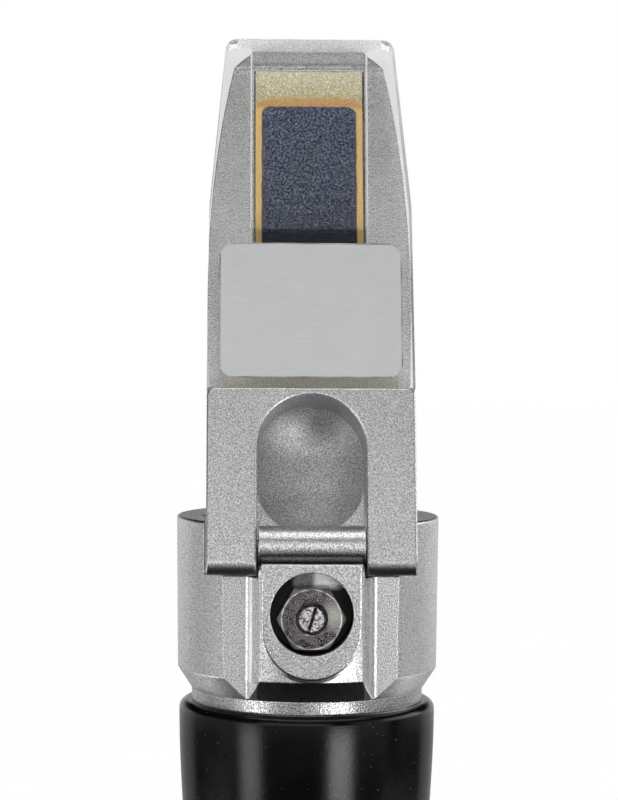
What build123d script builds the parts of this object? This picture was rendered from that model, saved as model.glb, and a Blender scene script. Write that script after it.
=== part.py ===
from build123d import *
import os
from math import cos, pi, radians, sin, sqrt, tan

os.makedirs("parts", exist_ok=True)

# A handheld refractometer that stands upright on its eyecup, in millimetres.
# +Z is the optical axis, from the eyecup up to the prism tip, and +X is to the right.
# The measuring face and the adjuster look towards -Y. The origin is the centre of the eyecup's rim.

# Fits
slip_gap = 0.05
seat_gap = 0.10
hinge_side_gap = 0.20
film_gap = 0.15

# How far a cutting shape runs past the surface that it cuts
overrun = 4.0

# Lengths along the optical axis, from the eyecup upwards
eyecup_hollow = 9.0
skirt_length = 7.5
focus_ring_length = 18.5
barrel_flange_height = 1.8
grip_length = 52.7
tube_shoulder_height = 1.6
cone_height = 2.5
collar_height = 18.4
head_height = 57.8

# Round sizes of the body
collar_top_radius = 16.0
collar_bottom_radius = 15.82
cone_bottom_radius = 14.2
head_radius = 12.4
collar_rim_fillet = 0.35
head_root_fillet = 0.6
head_crown_fillet = 0.5
tube_shoulder_radius = 14.1
tube_radius = 13.0
tube_wall = 1.6
spigot_radius = 10.15
spigot_wall = 2.55
spigot_length = 7.0

# Slanted measuring face and the cover over it
face_angle = 16.0
pin_depth = 13.5
pin_above_collar_rim = -2.6
pin_radius = 0.8
knuckle_radius = 2.4
knuckle_length = 12.5
web_bite = 1.5
land_bite = 0.3
cover_front = 1.3
cover_thickness = 6.4
cover_width = 24.8
cover_bottom_drop = 3.45
cover_corner_radius = 1.0
leg_end_radius = 1.5
frame_length = 18.9
bridge_height = 0.88
frame_edge_radius = 0.3

# Clear daylight plate
plate_front_recess = 0.15
plate_tip_overhang = 0.38
plate_taper_start = 21.4
plate_tip_inset = 2.2
plate_shoulder_inset = 0.2
plate_corner_radius = 1.5
pad_height = 1.1
pad_width = 14.4
pad_tip_margin = 0.5
pad_foot_width = 21.0
pad_foot_length = 3.4
prong_width = 3.4
prong_length = 7.0
prong_thickness = 2.6
prong_centre = 9.5
label_width = 21.9
label_length = 16.7
label_start = 1.2
label_corner_radius = 1.7
label_thickness = 0.15

# Measuring prism and its cement
prism_width = 11.45
prism_above_frame = 2.6
prism_back = 9.8
prism_proud = 0.05
prism_corner_radius = 1.1
seal_width = 0.85
seal_top_margin = 4.7
seal_top_land = 0.5
seal_bottom_margin = 2.2
seal_depth = 1.4
seal_groove = 0.25
seal_sink = 0.1
tip_bevel_drop = 3.35
light_passage_radius = 4.2
light_passage_offset = 4.0

# Thumb dish behind the hinge cut-out
dish_below_cutout_centre = 2.68
dish_run = 3.1
dish_rim_radius = 6.53
dish_depth = 3.0

# Flats that let the cover's legs fold down past the collar
flat_depth = 12.05
land_half_width = 6.05
flat_wall_foot = 7.45
flat_foot_radius = 0.7
leg_floor_drop = 0.25

# Adjuster
adjuster_above_collar = 7.4
escutcheon_width = 11.84
escutcheon_top_drop = 0.56
escutcheon_front = 16.3
escutcheon_thickness = 1.2
escutcheon_centre_drop = 1.16
escutcheon_edge_radius = 0.25
access_hole_radius = 4.9
access_hole_rise = 0.66
nut_floor = 12.3
nut_across_flats = 7.2
nut_height = 2.9
nut_chamfer = 0.45
screw_radius = 1.95
screw_proud = 0.15
screw_end_chamfer = 0.3
screw_slot_width = 0.5
screw_slot_depth = 0.7
screw_slot_tilt = 16.0
screw_tip_radius = 1.2
screw_tip_length = 1.5

# Objective and its sliding cell
objective_cell_radius = 8.8
objective_travel = 0.6
objective_cell_height = 5.9
objective_radius = 5.5
objective_edge = 1.2
objective_bulge = 0.7
objective_lip = 0.8
retainer_height = 1.2
lens_lip_width = 0.7

# Scale and stop inside the tube
reticle_radius = 9.9
reticle_thickness = 1.5
reticle_holder_height = 5.0
reticle_lip_height = 2.0
reticle_aperture = 8.4
reticle_retainer_height = 1.2
stop_height = 1.5
stop_aperture = 6.5
stop_above_reticle = 24.0
seal_ring_section = 0.48
seal_ring_groove = 1.0
seal_ring_groove_width = 1.4
seal_ring_centre = 11.8

# Eyepiece
barrel_spigot_length = 6.0
barrel_flange_radius = 14.8
barrel_sleeve_radius = 11.2
barrel_bore_radius = 9.5
barrel_sleeve_length = 11.0
ring_groove_depth = 0.7
eye_thread_radius = 10.2
eye_thread_length = 9.0
eye_thread_overlap = 4.0
eye_thread_gap = 0.5
eye_skirt_length = 12.0
eye_travel = 1.5
eye_lens_radius = 8.1
eye_lens_edge = 2.2
eye_lens_bulge = 1.5
eye_lip_height = 0.7
field_lens_edge = 1.6
field_lens_bulge = 1.2
lens_spacing = 6.6
spacer_wall = 0.8
guide_screw_radius = 0.9
guide_screw_drop = 2.0
guide_screw_reach = 0.9
guide_slot_length = 5.5
focus_ring_radius = 15.8
focus_ring_edge = 0.8
focus_ring_upper_bore = 11.25
rib_count = 30
rib_groove_radius = 0.85
rib_groove_offset = 0.3
rib_end_margin = 2.2
skirt_radius = 13.2
skirt_bead = 0.6
skirt_bead_height = 1.5
skirt_wall = 1.6
set_screw_count = 3
set_screw_radius = 1.0
set_screw_drop = 6.05
set_screw_sink = 0.7
set_screw_slot = 0.35
flange_gap = 0.2
eyecup_rim_radius = 17.6
eyecup_rim_inner = 14.8
eyecup_rim_height = 1.6
eyecup_waist_radius = 14.9
eyecup_rim_edge = 0.5
eyecup_flare_step = 0.9
eyecup_flare_rise = 3.35
eyecup_wall_taper = 0.3
eyecup_throat_radius = 12.0
eyecup_funnel_step = 1.1
eyecup_funnel_drop = 4.9
eyecup_top_gap = 0.2

# Rubber grip
grip_top_radius = 15.62
grip_waist_radius = 14.6
grip_bottom_radius = 15.1
grip_top_lip = 1.4
grip_bottom_lip = 1.0
grip_waist_rise = 23.7

# Heights that follow from the lengths
ring_bottom = eyecup_hollow + skirt_length
ring_top = ring_bottom + focus_ring_length
flange_bottom = ring_top + flange_gap
grip_bottom = flange_bottom + barrel_flange_height
grip_top = grip_bottom + grip_length
collar_base = grip_top + tube_shoulder_height
cone_top = collar_base + cone_height
collar_rim = cone_top + collar_height
head_top = collar_rim + head_height
spigot_top = collar_base + spigot_length
pin_height = collar_rim + pin_above_collar_rim
adjuster_height = cone_top + adjuster_above_collar
access_hole_height = adjuster_height + access_hole_rise
leg_bottom = pin_height - cover_bottom_drop
leg_floor = leg_bottom - leg_floor_drop

# Offsets from the hinge pin, along the slanted face's outward normal
cover_back = cover_front - cover_thickness
face_offset = cover_back - film_gap
prism_offset = face_offset + prism_proud
plate_front = cover_front - plate_front_recess
plate_back = cover_back + pad_height
cutout_radius = knuckle_length / 2 + hinge_side_gap
cutout_centre = frame_length - bridge_height - cutout_radius
dish_start = cutout_centre - dish_below_cutout_centre
tube_bore = tube_radius - tube_wall
spigot_bore = spigot_radius - spigot_wall

# Cylinders and boxes that start at their own lower end
on_end = (Align.CENTER, Align.CENTER, Align.MIN)

# The slanted frame: x to the right, y up along the face, z outwards, origin on the pin's axis
cos_face = cos(radians(face_angle))
sin_face = sin(radians(face_angle))
slant = Plane(
    origin=(0, -pin_depth, pin_height),
    x_dir=(1, 0, 0),
    z_dir=(0, -cos_face, sin_face),
)


def along_face(start, offset):
    """Y and Z of a point this far up the slanted face and this far out from the pin."""
    y = -pin_depth + start * sin_face - offset * cos_face
    z = pin_height + start * cos_face + offset * sin_face
    return y, z


def up_to(height, offset):
    """How far up the slanted face this height lies, at this offset from the pin."""
    return (height - pin_height - offset * sin_face) / cos_face


# Lengths up the slanted face that follow from the head's top
tip_bevel_start = up_to(head_top - tip_bevel_drop, face_offset)
seal_high = tip_bevel_start - seal_top_land
prism_start = frame_length + prism_above_frame
prism_length = seal_high - seal_top_margin - prism_start
plate_length = up_to(head_top + plate_tip_overhang, plate_front) - frame_length


def slab(sketch, low, high):
    """A sketch drawn in the slanted frame, raised between two offsets from the pin."""
    return slant * (Pos(0, 0, low) * extrude(sketch, high - low))


def side_prism(points, width):
    """A side view in Y and Z, extruded to both sides of the middle plane."""
    profile = make_face(Polyline(*points, close=True))
    return extrude(Plane.YZ * profile, width / 2, both=True)


def turned(points):
    """A solid of revolution about the optical axis from radius and height pairs."""
    profile = make_face(Polyline(*points, close=True))
    return revolve(Plane.XZ * profile, Axis.Z)


def tube(outer, inner, bottom, top):
    """A plain ring about the optical axis."""
    points = [(inner, bottom), (outer, bottom), (outer, top), (inner, top)]
    return turned(points)


def across(radius, near, far, height=0.0):
    """A cylinder along Y between two depths in front of the optical axis."""
    middle = Pos(0, -(near + far) / 2, height)
    return middle * Rot(90, 0, 0) * Cylinder(radius, far - near)


def crosswise(radius, length):
    """A cylinder along X about the hinge pin's axis."""
    return Pos(0, -pin_depth, pin_height) * Rot(0, 90, 0) * Cylinder(radius, length)


def lens(radius, edge, bulge, bottom, seat):
    """A plano-convex lens with a flat seat round its curved face; a negative bulge faces down."""
    flat = bottom if bulge > 0 else bottom + edge
    curved = bottom + edge if bulge > 0 else bottom
    crown = curved + bulge
    inner = radius - seat
    sphere = (inner**2 + bulge**2) / (2 * abs(bulge))
    sag = sphere - sqrt(sphere**2 - (inner / 2) ** 2)
    middle = crown - sag if bulge > 0 else crown + sag
    outline = Curve() + [
        Line((0, flat), (0, crown)),
        ThreePointArc((0, crown), (inner / 2, middle), (inner, curved)),
        Line((inner, curved), (radius, curved)),
        Line((radius, curved), (radius, flat)),
        Line((radius, flat), (0, flat)),
    ]
    return revolve(Plane.XZ * make_face(outline), Axis.Z)


def edges_near(solid, kind, height, tolerance=0.02):
    """Edges of one kind whose centre lies at this height."""
    found = solid.edges().filter_by(kind)
    return [edge for edge in found if abs(edge.center(CenterOf.BOUNDING_BOX).Z - height) < tolerance]


def housing_blank():
    """The turned outside of the casting: cone, drafted collar and round head."""
    outside = turned(
        [
            (0, collar_base),
            (cone_bottom_radius, collar_base),
            (collar_bottom_radius, cone_top),
            (collar_top_radius, collar_rim),
            (head_radius, collar_rim),
            (head_radius, head_top),
            (0, head_top),
        ]
    )
    rim = max(edges_near(outside, GeomType.CIRCLE, collar_rim), key=lambda edge: edge.radius)
    outside = fillet([rim], collar_rim_fillet)
    root = min(edges_near(outside, GeomType.CIRCLE, collar_rim), key=lambda edge: edge.radius)
    outside = fillet([root], head_root_fillet)
    crown = edges_near(outside, GeomType.CIRCLE, head_top)
    return fillet(crown, head_crown_fillet)


def cover_clearance():
    """Everything in front of the slanted face, as wide as the cover and down to the leg floor."""
    reach = 3 * collar_top_radius
    width = cover_width + 2 * hinge_side_gap
    low_y, low_z = along_face(-reach, face_offset)
    high_y, high_z = along_face(2 * head_height, face_offset)
    front = side_prism(
        [(low_y, low_z), (high_y, high_z), (-reach, high_z), (-reach, low_z)],
        width,
    )
    above_floor = Pos(0, 0, leg_floor) * Box(2 * width, 2 * reach, 2 * head_height, align=on_end)
    return front & above_floor


def knuckle():
    """The hinge barrel, its web to the head and the top of the land under it."""
    barrel = crosswise(knuckle_radius, knuckle_length)
    back_y, back_z = along_face(0, face_offset - web_bite)
    land_top = pin_height - knuckle_radius + land_bite
    web = side_prism(
        [
            (-pin_depth, land_top),
            (-pin_depth, pin_height + knuckle_radius / 2),
            (back_y, back_z),
            (back_y, leg_floor - web_bite),
            (-flat_depth, leg_floor - web_bite),
        ],
        knuckle_length,
    )
    land = tube(collar_bottom_radius, flat_depth - web_bite, leg_floor - web_bite, land_top)
    land_back, land_front = -collar_top_radius, 0
    front = side_prism(
        [(land_back, 0), (land_front, 0), (land_front, head_top), (land_back, head_top)],
        knuckle_length,
    )
    return barrel + web + (land & front)


def flat_relief():
    """The two flats beside the raised land, with drafted walls and a filleted foot."""
    far = collar_top_radius + overrun
    wall_rise = far - flat_depth
    wall_draft = (flat_wall_foot - land_half_width) / (
        sqrt(collar_bottom_radius**2 - land_half_width**2) - flat_depth
    )
    outline = Polyline(
        (far, -flat_depth),
        (flat_wall_foot, -flat_depth),
        (flat_wall_foot - wall_rise * wall_draft, -far),
        (far, -far),
        close=True,
    )
    profile = make_face(outline)
    foot = profile.vertices().sort_by_distance((flat_wall_foot, -flat_depth))[0]
    profile = fillet([foot], flat_foot_radius)
    bottom = collar_base - overrun
    right = Pos(0, 0, bottom) * extrude(profile, leg_floor + leg_floor_drop - bottom)
    return right + mirror(right, Plane.YZ)


def dish_tool():
    """A round-ended trough with a spherical bottom, up to the slanted face."""
    sphere = (dish_rim_radius**2 + dish_depth**2) / (2 * dish_depth)
    centre = face_offset + sphere - dish_depth
    low = slant * Pos(0, dish_start, centre) * Sphere(sphere)
    high = slant * Pos(0, dish_start + dish_run, centre) * Sphere(sphere)
    trough = slant * Pos(0, dish_start + dish_run / 2, centre) * Rot(90, 0, 0) * Cylinder(sphere, dish_run)
    below = slab(Rectangle(4 * head_radius, 4 * head_height), face_offset - 2 * sphere, face_offset)
    return (low + high + trough) & below


def prism_profile(grow):
    """Side view of the wedge prism; a grown one has the clearance and is open to the front."""
    top_y, top_z = along_face(prism_start + prism_length, prism_offset)
    low_y, low_z = along_face(prism_start, prism_offset)
    lift = 2 * grow / cos_face
    back = prism_back + grow
    if grow == 0:
        return [(low_y, low_z), (top_y, top_z), (back, top_z), (back, low_z)]
    front_low = (low_y - lift - grow * tan(radians(face_angle)), low_z - grow)
    front_top = (top_y - lift + grow * tan(radians(face_angle)), top_z + grow)
    return [front_low, front_top, (back, top_z + grow), (back, low_z - grow)]


def escutcheon_sketch(grow=0.0):
    """The D outline in X and Z, with its straight top edge."""
    radius = escutcheon_width / 2 + grow
    centre = adjuster_height - escutcheon_centre_drop
    top = pin_height - knuckle_radius + escutcheon_top_drop + grow
    outline = Rectangle(2 * radius, top - centre, align=(Align.CENTER, Align.MIN))
    return Pos(0, centre) * (outline + Circle(radius))


def facing_front(sketch, near, far):
    """A sketch in X and Z raised along -Y between two depths in front of the axis."""
    return Plane(origin=(0, -near, 0), x_dir=(1, 0, 0), z_dir=(0, -1, 0)) * extrude(sketch, far - near)


def prism_housing():
    """The die-cast head: wedge, collar with its flats and land, hinge knuckle and dish."""
    casting = housing_blank() - cover_clearance()
    casting -= flat_relief()
    casting += knuckle()
    bevel_y, bevel_z = along_face(tip_bevel_start, face_offset)
    reach = 2 * overrun
    bevel = side_prism(
        [
            (bevel_y, bevel_z),
            (bevel_y + reach, bevel_z + reach),
            (bevel_y - reach, bevel_z + reach),
        ],
        3 * head_radius,
    )
    casting -= bevel
    casting -= dish_tool()
    casting -= rounded_prism(slip_gap)
    recess_half = prism_width / 2 + seal_width + seal_groove
    recess_low = prism_start - seal_bottom_margin - seal_groove
    recess_high = seal_high + slip_gap
    recess = Pos(0, (recess_low + recess_high) / 2) * Rectangle(2 * recess_half, recess_high - recess_low)
    casting -= slab(recess, face_offset - seal_depth - seal_sink - slip_gap, face_offset + overrun)
    casting -= objective_cavity()
    passage_length = along_face(prism_start, prism_offset)[1] - spigot_top
    passage = Cylinder(light_passage_radius, passage_length, align=on_end)
    casting -= Pos(0, light_passage_offset, spigot_top) * passage
    casting -= crosswise(pin_radius + slip_gap, 2 * cover_width)
    recess_back = escutcheon_front - escutcheon_thickness
    casting -= facing_front(escutcheon_sketch(slip_gap), recess_back, escutcheon_front + overrun)
    casting -= across(access_hole_radius, nut_floor, escutcheon_front + overrun, access_hole_height)
    casting -= across(screw_radius + slip_gap, 0, nut_floor + overrun, adjuster_height)
    return casting


def objective_cavity():
    """The bore for the tube's spigot and the slot in which the objective cell slides."""
    bore = tube(spigot_radius + slip_gap, 0, collar_base, spigot_top + seat_gap)
    slot_radius = objective_cell_radius + seat_gap
    slot = SlotCenterToCenter(2 * objective_travel, 2 * slot_radius, rotation=90)
    height = objective_cell_height + 2 * seat_gap
    return bore + Pos(0, 0, spigot_top) * extrude(slot, height)


def prism_outline(grow=0.0):
    """Front view of the prism in the slanted frame, rounded at its upper corners."""
    high = prism_start + prism_length + grow
    low = prism_start - overrun
    outline = Pos(0, (low + high) / 2) * Rectangle(prism_width + 2 * grow, high - low)
    corners = outline.vertices().group_by(Axis.Y)[-1]
    return fillet(corners, prism_corner_radius + grow)


def rounded_prism(grow=0.0):
    """The wedge prism with its upper corners rounded; a grown one has the clearance."""
    wedge = side_prism(prism_profile(grow), prism_width + 2 * grow)
    reach = 3 * head_radius
    return wedge & slab(prism_outline(grow), face_offset - reach, face_offset + overrun)


def measuring_prism():
    """The glass wedge under the sample."""
    return rounded_prism()


def prism_seal():
    """The cement that frames the prism in its recess."""
    half = prism_width / 2 + seal_width
    low = prism_start - seal_bottom_margin
    outer = Pos(0, (low + seal_high) / 2) * Rectangle(2 * half, seal_high - low)
    frame = slab(outer, face_offset - seal_depth - seal_sink, face_offset - seal_sink)
    return frame - rounded_prism(slip_gap)


def adjuster_escutcheon():
    """The D-shaped plate round the adjuster's access hole."""
    back = escutcheon_front - escutcheon_thickness
    plate = facing_front(escutcheon_sketch(), back, escutcheon_front)
    plate = fillet(plate.faces().sort_by(Axis.Y)[0].edges(), escutcheon_edge_radius)
    return plate - across(access_hole_radius, 0, 2 * escutcheon_front, access_hole_height)


def main_tube():
    """The aluminium body tube, with the shoulder that shows above the grip."""
    groove_inner = seal_ring_centre - seal_ring_groove_width / 2
    groove_outer = seal_ring_centre + seal_ring_groove_width / 2
    groove_floor = collar_base - seal_ring_groove
    body = turned(
        [
            (tube_bore, grip_bottom),
            (tube_radius, grip_bottom),
            (tube_radius, grip_top),
            (tube_shoulder_radius, grip_top),
            (tube_shoulder_radius, collar_base),
            (groove_outer, collar_base),
            (groove_outer, groove_floor),
            (groove_inner, groove_floor),
            (groove_inner, collar_base),
            (spigot_radius, collar_base),
            (spigot_radius, spigot_top),
            (spigot_bore, spigot_top),
            (spigot_bore, grip_top - tube_wall),
            (tube_bore, grip_top - 2 * tube_wall),
        ]
    )
    return body


def tube_seal_ring():
    """The rubber ring squeezed between the tube's shoulder and the collar."""
    height = collar_base - seal_ring_groove / 2
    return Pos(0, 0, height) * Torus(seal_ring_centre, seal_ring_section)


def rubber_grip():
    """The moulded sleeve, rounded at both lips and slightly waisted."""
    inner = tube_radius + slip_gap
    waist_height = grip_bottom + grip_waist_rise
    top_flat = grip_top_radius - grip_top_lip
    bottom_flat = grip_bottom_radius - grip_bottom_lip
    lip_foot = grip_top - grip_top_lip
    base_foot = grip_bottom + grip_bottom_lip
    outline = Curve() + [
        Line((inner, grip_bottom), (bottom_flat, grip_bottom)),
        RadiusArc((bottom_flat, grip_bottom), (grip_bottom_radius, base_foot), -grip_bottom_lip),
        Spline(
            (grip_bottom_radius, base_foot),
            (grip_waist_radius, waist_height),
            (grip_top_radius, lip_foot),
            tangents=((-0.03, 1), (0.01, 1)),
        ),
        RadiusArc((grip_top_radius, lip_foot), (top_flat, grip_top), -grip_top_lip),
        Line((top_flat, grip_top), (inner, grip_top)),
        Line((inner, grip_top), (inner, grip_bottom)),
    ]
    return revolve(Plane.XZ * make_face(outline), Axis.Z)


def frame_outline():
    """Front view of the hinge frame in the slanted frame, with its cut-out."""
    low = -2 * cover_thickness
    plate = Pos(0, (low + frame_length) / 2) * Rectangle(cover_width, frame_length - low)
    corners = plate.vertices().group_by(Axis.Y)[-1]
    plate = fillet(corners, cover_corner_radius)
    slot = Pos(0, (low + cutout_centre) / 2) * Rectangle(2 * cutout_radius, cutout_centre - low)
    return plate - slot - Pos(0, cutout_centre) * Circle(cutout_radius)


def hinge_frame():
    """The die-cast frame: two legs round the knuckle and the bridge that holds the plate."""
    upper = slab(frame_outline(), cover_back, cover_front)
    leg_swing = crosswise(-cover_back, cover_width)
    above_pin = Pos(0, frame_length) * Rectangle(2 * cover_width, 2 * frame_length)
    frame = (upper & slab(above_pin, cover_back, cover_front)) + (upper & leg_swing)
    reach = 4 * cover_width
    below = Pos(0, 0, leg_bottom - reach) * Box(reach, reach, reach, align=on_end)
    frame -= below
    toes = [
        edge
        for edge in frame.edges().filter_by(Axis.X)
        if abs(edge.center().Z - leg_bottom) < slip_gap and edge.center().Y < -pin_depth
    ]
    frame = fillet(toes, leg_end_radius)
    front = frame.faces().filter_by(slant).sort_by(Axis(slant.origin, slant.z_dir))[-1]
    joint = front.edges().sort_by(Axis(slant.origin, slant.y_dir))[-1]
    frame = fillet([edge for edge in front.edges() if edge != joint], frame_edge_radius)
    frame -= crosswise(pin_radius, 2 * cover_width)
    for side in (-1, 1):
        frame -= prong(side, slip_gap)
    return frame


def prong(side, grow=0.0):
    """A tongue of the clear plate that is bonded into the frame on this side."""
    middle = (plate_front + plate_back) / 2
    half = prong_thickness / 2 + grow
    outline = Rectangle(prong_width + 2 * grow, prong_length + 2 * grow)
    place = Pos(side * prong_centre, frame_length - prong_length / 2)
    return slab(place * outline, middle - half, middle + half)


def plate_sketch():
    """Front view of the clear plate, tapering to its tip."""
    low = frame_length
    high = frame_length + plate_length
    bend = high - plate_taper_start
    half_low = cover_width / 2
    half_bend = half_low - plate_shoulder_inset
    half_tip = half_low - plate_tip_inset
    outline = Polyline(
        (-half_low, low),
        (half_low, low),
        (half_bend, bend),
        (half_tip, high),
        (-half_tip, high),
        (-half_bend, bend),
        close=True,
    )
    plate = make_face(outline)
    return fillet(plate.vertices().group_by(Axis.Y)[-1], plate_corner_radius)


def daylight_plate():
    """The clear cover plate, with the raised pad that spreads the sample."""
    plate = slab(plate_sketch(), plate_back, plate_front)
    tip = frame_length + plate_length - pad_tip_margin
    pad = Pos(0, (frame_length + tip) / 2) * Rectangle(pad_width, tip - frame_length)
    foot = Pos(0, frame_length + pad_foot_length / 2) * Rectangle(pad_foot_width, pad_foot_length)
    plate += slab(pad + foot, cover_back, plate_back)
    return plate + prong(-1) + prong(1)


def rating_label():
    """The bare foil label on the clear plate."""
    centre = frame_length + label_start + label_length / 2
    outline = Pos(0, centre) * RectangleRounded(label_width, label_length, label_corner_radius)
    return slab(outline, plate_front, plate_front + label_thickness)


def hinge_pin():
    """The steel pin through both legs and the knuckle."""
    return crosswise(pin_radius, cover_width - 2 * slip_gap)


def lock_nut():
    """The hexagon nut that locks the adjusting screw."""
    blank = extrude(RegularPolygon(nut_across_flats / 2, 6, major_radius=False), nut_height)
    corner = nut_across_flats / 2 / cos(pi / 6)
    flat = nut_across_flats / 2
    crown = make_face(
        Polyline(
            (0, 0),
            (corner + slip_gap, 0),
            (corner + slip_gap, nut_height - nut_chamfer),
            (flat - slip_gap, nut_height),
            (0, nut_height),
            close=True,
        )
    )
    blank &= revolve(Plane.XZ * crown, Axis.Z)
    blank -= Cylinder(screw_radius + slip_gap, 2 * nut_height + overrun)
    place = Plane(
        origin=(0, -(nut_floor + slip_gap), adjuster_height),
        x_dir=(1, 0, 0),
        z_dir=(0, -1, 0),
    )
    return place * blank


def adjusting_screw():
    """The slotted screw whose plain tip carries the objective cell."""
    end = nut_floor + slip_gap + nut_height + screw_proud
    shoulder = objective_cell_radius + seat_gap
    shank = across(screw_radius, shoulder, end, adjuster_height)
    front_edge = shank.edges().filter_by(GeomType.CIRCLE).sort_by(Axis.Y)[0]
    shank = chamfer([front_edge], screw_end_chamfer)
    tip = across(screw_tip_radius, shoulder - screw_tip_length, shoulder, adjuster_height)
    slot = Box(screw_slot_width, 2 * screw_slot_depth, 3 * screw_radius)
    slot = Pos(0, -end, adjuster_height) * Rot(0, screw_slot_tilt, 0) * slot
    return shank + tip - slot


def objective_cell():
    """The sliding cell that holds the objective lens."""
    bottom = spigot_top + seat_gap
    top = bottom + objective_cell_height
    lip_inner = objective_radius - lens_lip_width
    body = turned(
        [
            (objective_radius + slip_gap, bottom),
            (objective_cell_radius, bottom),
            (objective_cell_radius, top),
            (lip_inner, top),
            (lip_inner, top - objective_lip),
            (objective_radius + slip_gap, top - objective_lip),
        ]
    )
    hole_depth = screw_tip_length + seat_gap
    hole = across(
        screw_tip_radius + slip_gap,
        objective_cell_radius + seat_gap - hole_depth - slip_gap,
        objective_cell_radius + overrun,
        adjuster_height,
    )
    return body - hole


def objective_lens():
    """The objective, flat above and bulging below."""
    top = spigot_top + seat_gap + objective_cell_height - objective_lip - slip_gap
    seat = lens_lip_width + slip_gap
    return lens(objective_radius, objective_edge, -objective_bulge, top - objective_edge, seat)


def objective_retainer():
    """The threaded ring under the objective."""
    lens_edge = spigot_top + seat_gap + objective_cell_height - objective_lip - slip_gap - objective_edge
    top = lens_edge - slip_gap
    return tube(objective_radius, objective_radius - lens_lip_width, top - retainer_height, top)


def reticle_holder():
    """The ring that centres the scale in the tube."""
    bottom = grip_bottom + barrel_spigot_length + seat_gap
    top = bottom + reticle_holder_height
    seat = top - reticle_lip_height
    return turned(
        [
            (reticle_radius + slip_gap, bottom),
            (tube_bore - slip_gap, bottom),
            (tube_bore - slip_gap, top),
            (reticle_aperture, top),
            (reticle_aperture, seat),
            (reticle_radius + slip_gap, seat),
        ]
    )


def reticle_seat():
    """Height of the shoulder that the scale glass rests against."""
    return grip_bottom + barrel_spigot_length + seat_gap + reticle_holder_height - reticle_lip_height


def scale_reticle():
    """The scale glass."""
    top = reticle_seat() - slip_gap
    return Pos(0, 0, top - reticle_thickness / 2) * Cylinder(reticle_radius, reticle_thickness)


def reticle_retainer():
    """The threaded ring under the scale glass."""
    top = reticle_seat() - 2 * slip_gap - reticle_thickness
    return tube(reticle_radius, reticle_aperture, top - reticle_retainer_height, top)


def field_stop():
    """The blackened stop ring that keeps stray light out."""
    bottom = reticle_seat() + stop_above_reticle
    return tube(tube_bore - slip_gap, stop_aperture, bottom, bottom + stop_height)


def eyepiece_barrel():
    """The fixed barrel: spigot in the tube, flange under the grip and sleeve for the lenses."""
    sleeve_bottom = flange_bottom - barrel_sleeve_length
    body = turned(
        [
            (barrel_bore_radius, sleeve_bottom),
            (barrel_sleeve_radius, sleeve_bottom),
            (barrel_sleeve_radius, flange_bottom),
            (barrel_flange_radius, flange_bottom),
            (barrel_flange_radius, grip_bottom),
            (tube_bore - slip_gap, grip_bottom),
            (tube_bore - slip_gap, grip_bottom + barrel_spigot_length),
            (barrel_bore_radius, grip_bottom + barrel_spigot_length),
        ]
    )
    groove_half = set_screw_radius + seat_gap
    groove = tube(
        barrel_sleeve_radius + overrun,
        barrel_sleeve_radius - ring_groove_depth,
        set_screw_height() - groove_half,
        set_screw_height() + groove_half,
    )
    hole = across(guide_screw_radius, -2 * barrel_sleeve_radius, 0, guide_screw_height())
    return body - groove - hole


def set_screw_height():
    """Height of the three screws that keep the focus ring on the barrel."""
    return flange_bottom - set_screw_drop


def guide_screw_height():
    """Height of the screw that stops the lens cell turning."""
    return flange_bottom - guide_screw_drop


def lens_guide_screw():
    """The headless guide screw in the barrel's back wall."""
    tip = barrel_bore_radius - guide_screw_reach
    head = barrel_sleeve_radius - seat_gap
    return across(guide_screw_radius - slip_gap, -head, -tip, guide_screw_height())


def thread_top():
    """Height of the upper end of the focus ring's inner thread."""
    return flange_bottom - barrel_sleeve_length - eye_thread_gap


def focus_ring():
    """The ribbed ring that drives the lens cell, with the skirt for the eyecup."""
    thread_bottom = thread_top() - eye_thread_overlap - eye_travel
    inner_skirt = skirt_radius - skirt_wall
    thread = eye_thread_radius + slip_gap
    edge = focus_ring_edge
    body = turned(
        [
            (inner_skirt, eyecup_hollow),
            (skirt_radius + skirt_bead, eyecup_hollow),
            (skirt_radius + skirt_bead, eyecup_hollow + skirt_bead_height),
            (skirt_radius, eyecup_hollow + skirt_bead_height),
            (skirt_radius, ring_bottom),
            (focus_ring_radius - edge, ring_bottom),
            (focus_ring_radius, ring_bottom + edge),
            (focus_ring_radius, ring_top - edge),
            (focus_ring_radius - edge, ring_top),
            (focus_ring_upper_bore, ring_top),
            (focus_ring_upper_bore, thread_top()),
            (thread, thread_top()),
            (thread, thread_bottom),
            (inner_skirt, thread_bottom),
        ]
    )
    groove_length = focus_ring_length - 2 * rib_end_margin
    groove = Cylinder(rib_groove_radius, groove_length)
    middle = (ring_bottom + ring_top) / 2
    for place in PolarLocations(focus_ring_radius + rib_groove_offset, rib_count):
        body -= Pos(0, 0, middle) * place * groove
    for place in PolarLocations(0, set_screw_count, start_angle=set_screw_angle()):
        hole = Rot(0, 90, 0) * Cylinder(set_screw_radius + slip_gap, 2 * focus_ring_radius, align=on_end)
        body -= Pos(0, 0, set_screw_height()) * place * hole
    return body


def set_screw_angle():
    """Half a rib pitch, so that each screw sits on the crest between two grooves."""
    return 180 / rib_count


def focus_ring_screws():
    """Three headless screws whose points run in the barrel's groove."""
    point = barrel_sleeve_radius - ring_groove_depth + seat_gap
    length = focus_ring_radius - set_screw_sink - point
    screws = []
    for place in PolarLocations(0, set_screw_count, start_angle=set_screw_angle()):
        screw = Pos(point, 0, 0) * Rot(0, 90, 0) * Cylinder(set_screw_radius, length, align=on_end)
        slot = Pos(point + length, 0, 0) * Box(2 * set_screw_slot, 3 * set_screw_radius, set_screw_slot)
        screws.append(Pos(0, 0, set_screw_height()) * place * (screw - slot))
    return Compound(children=screws)


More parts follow.
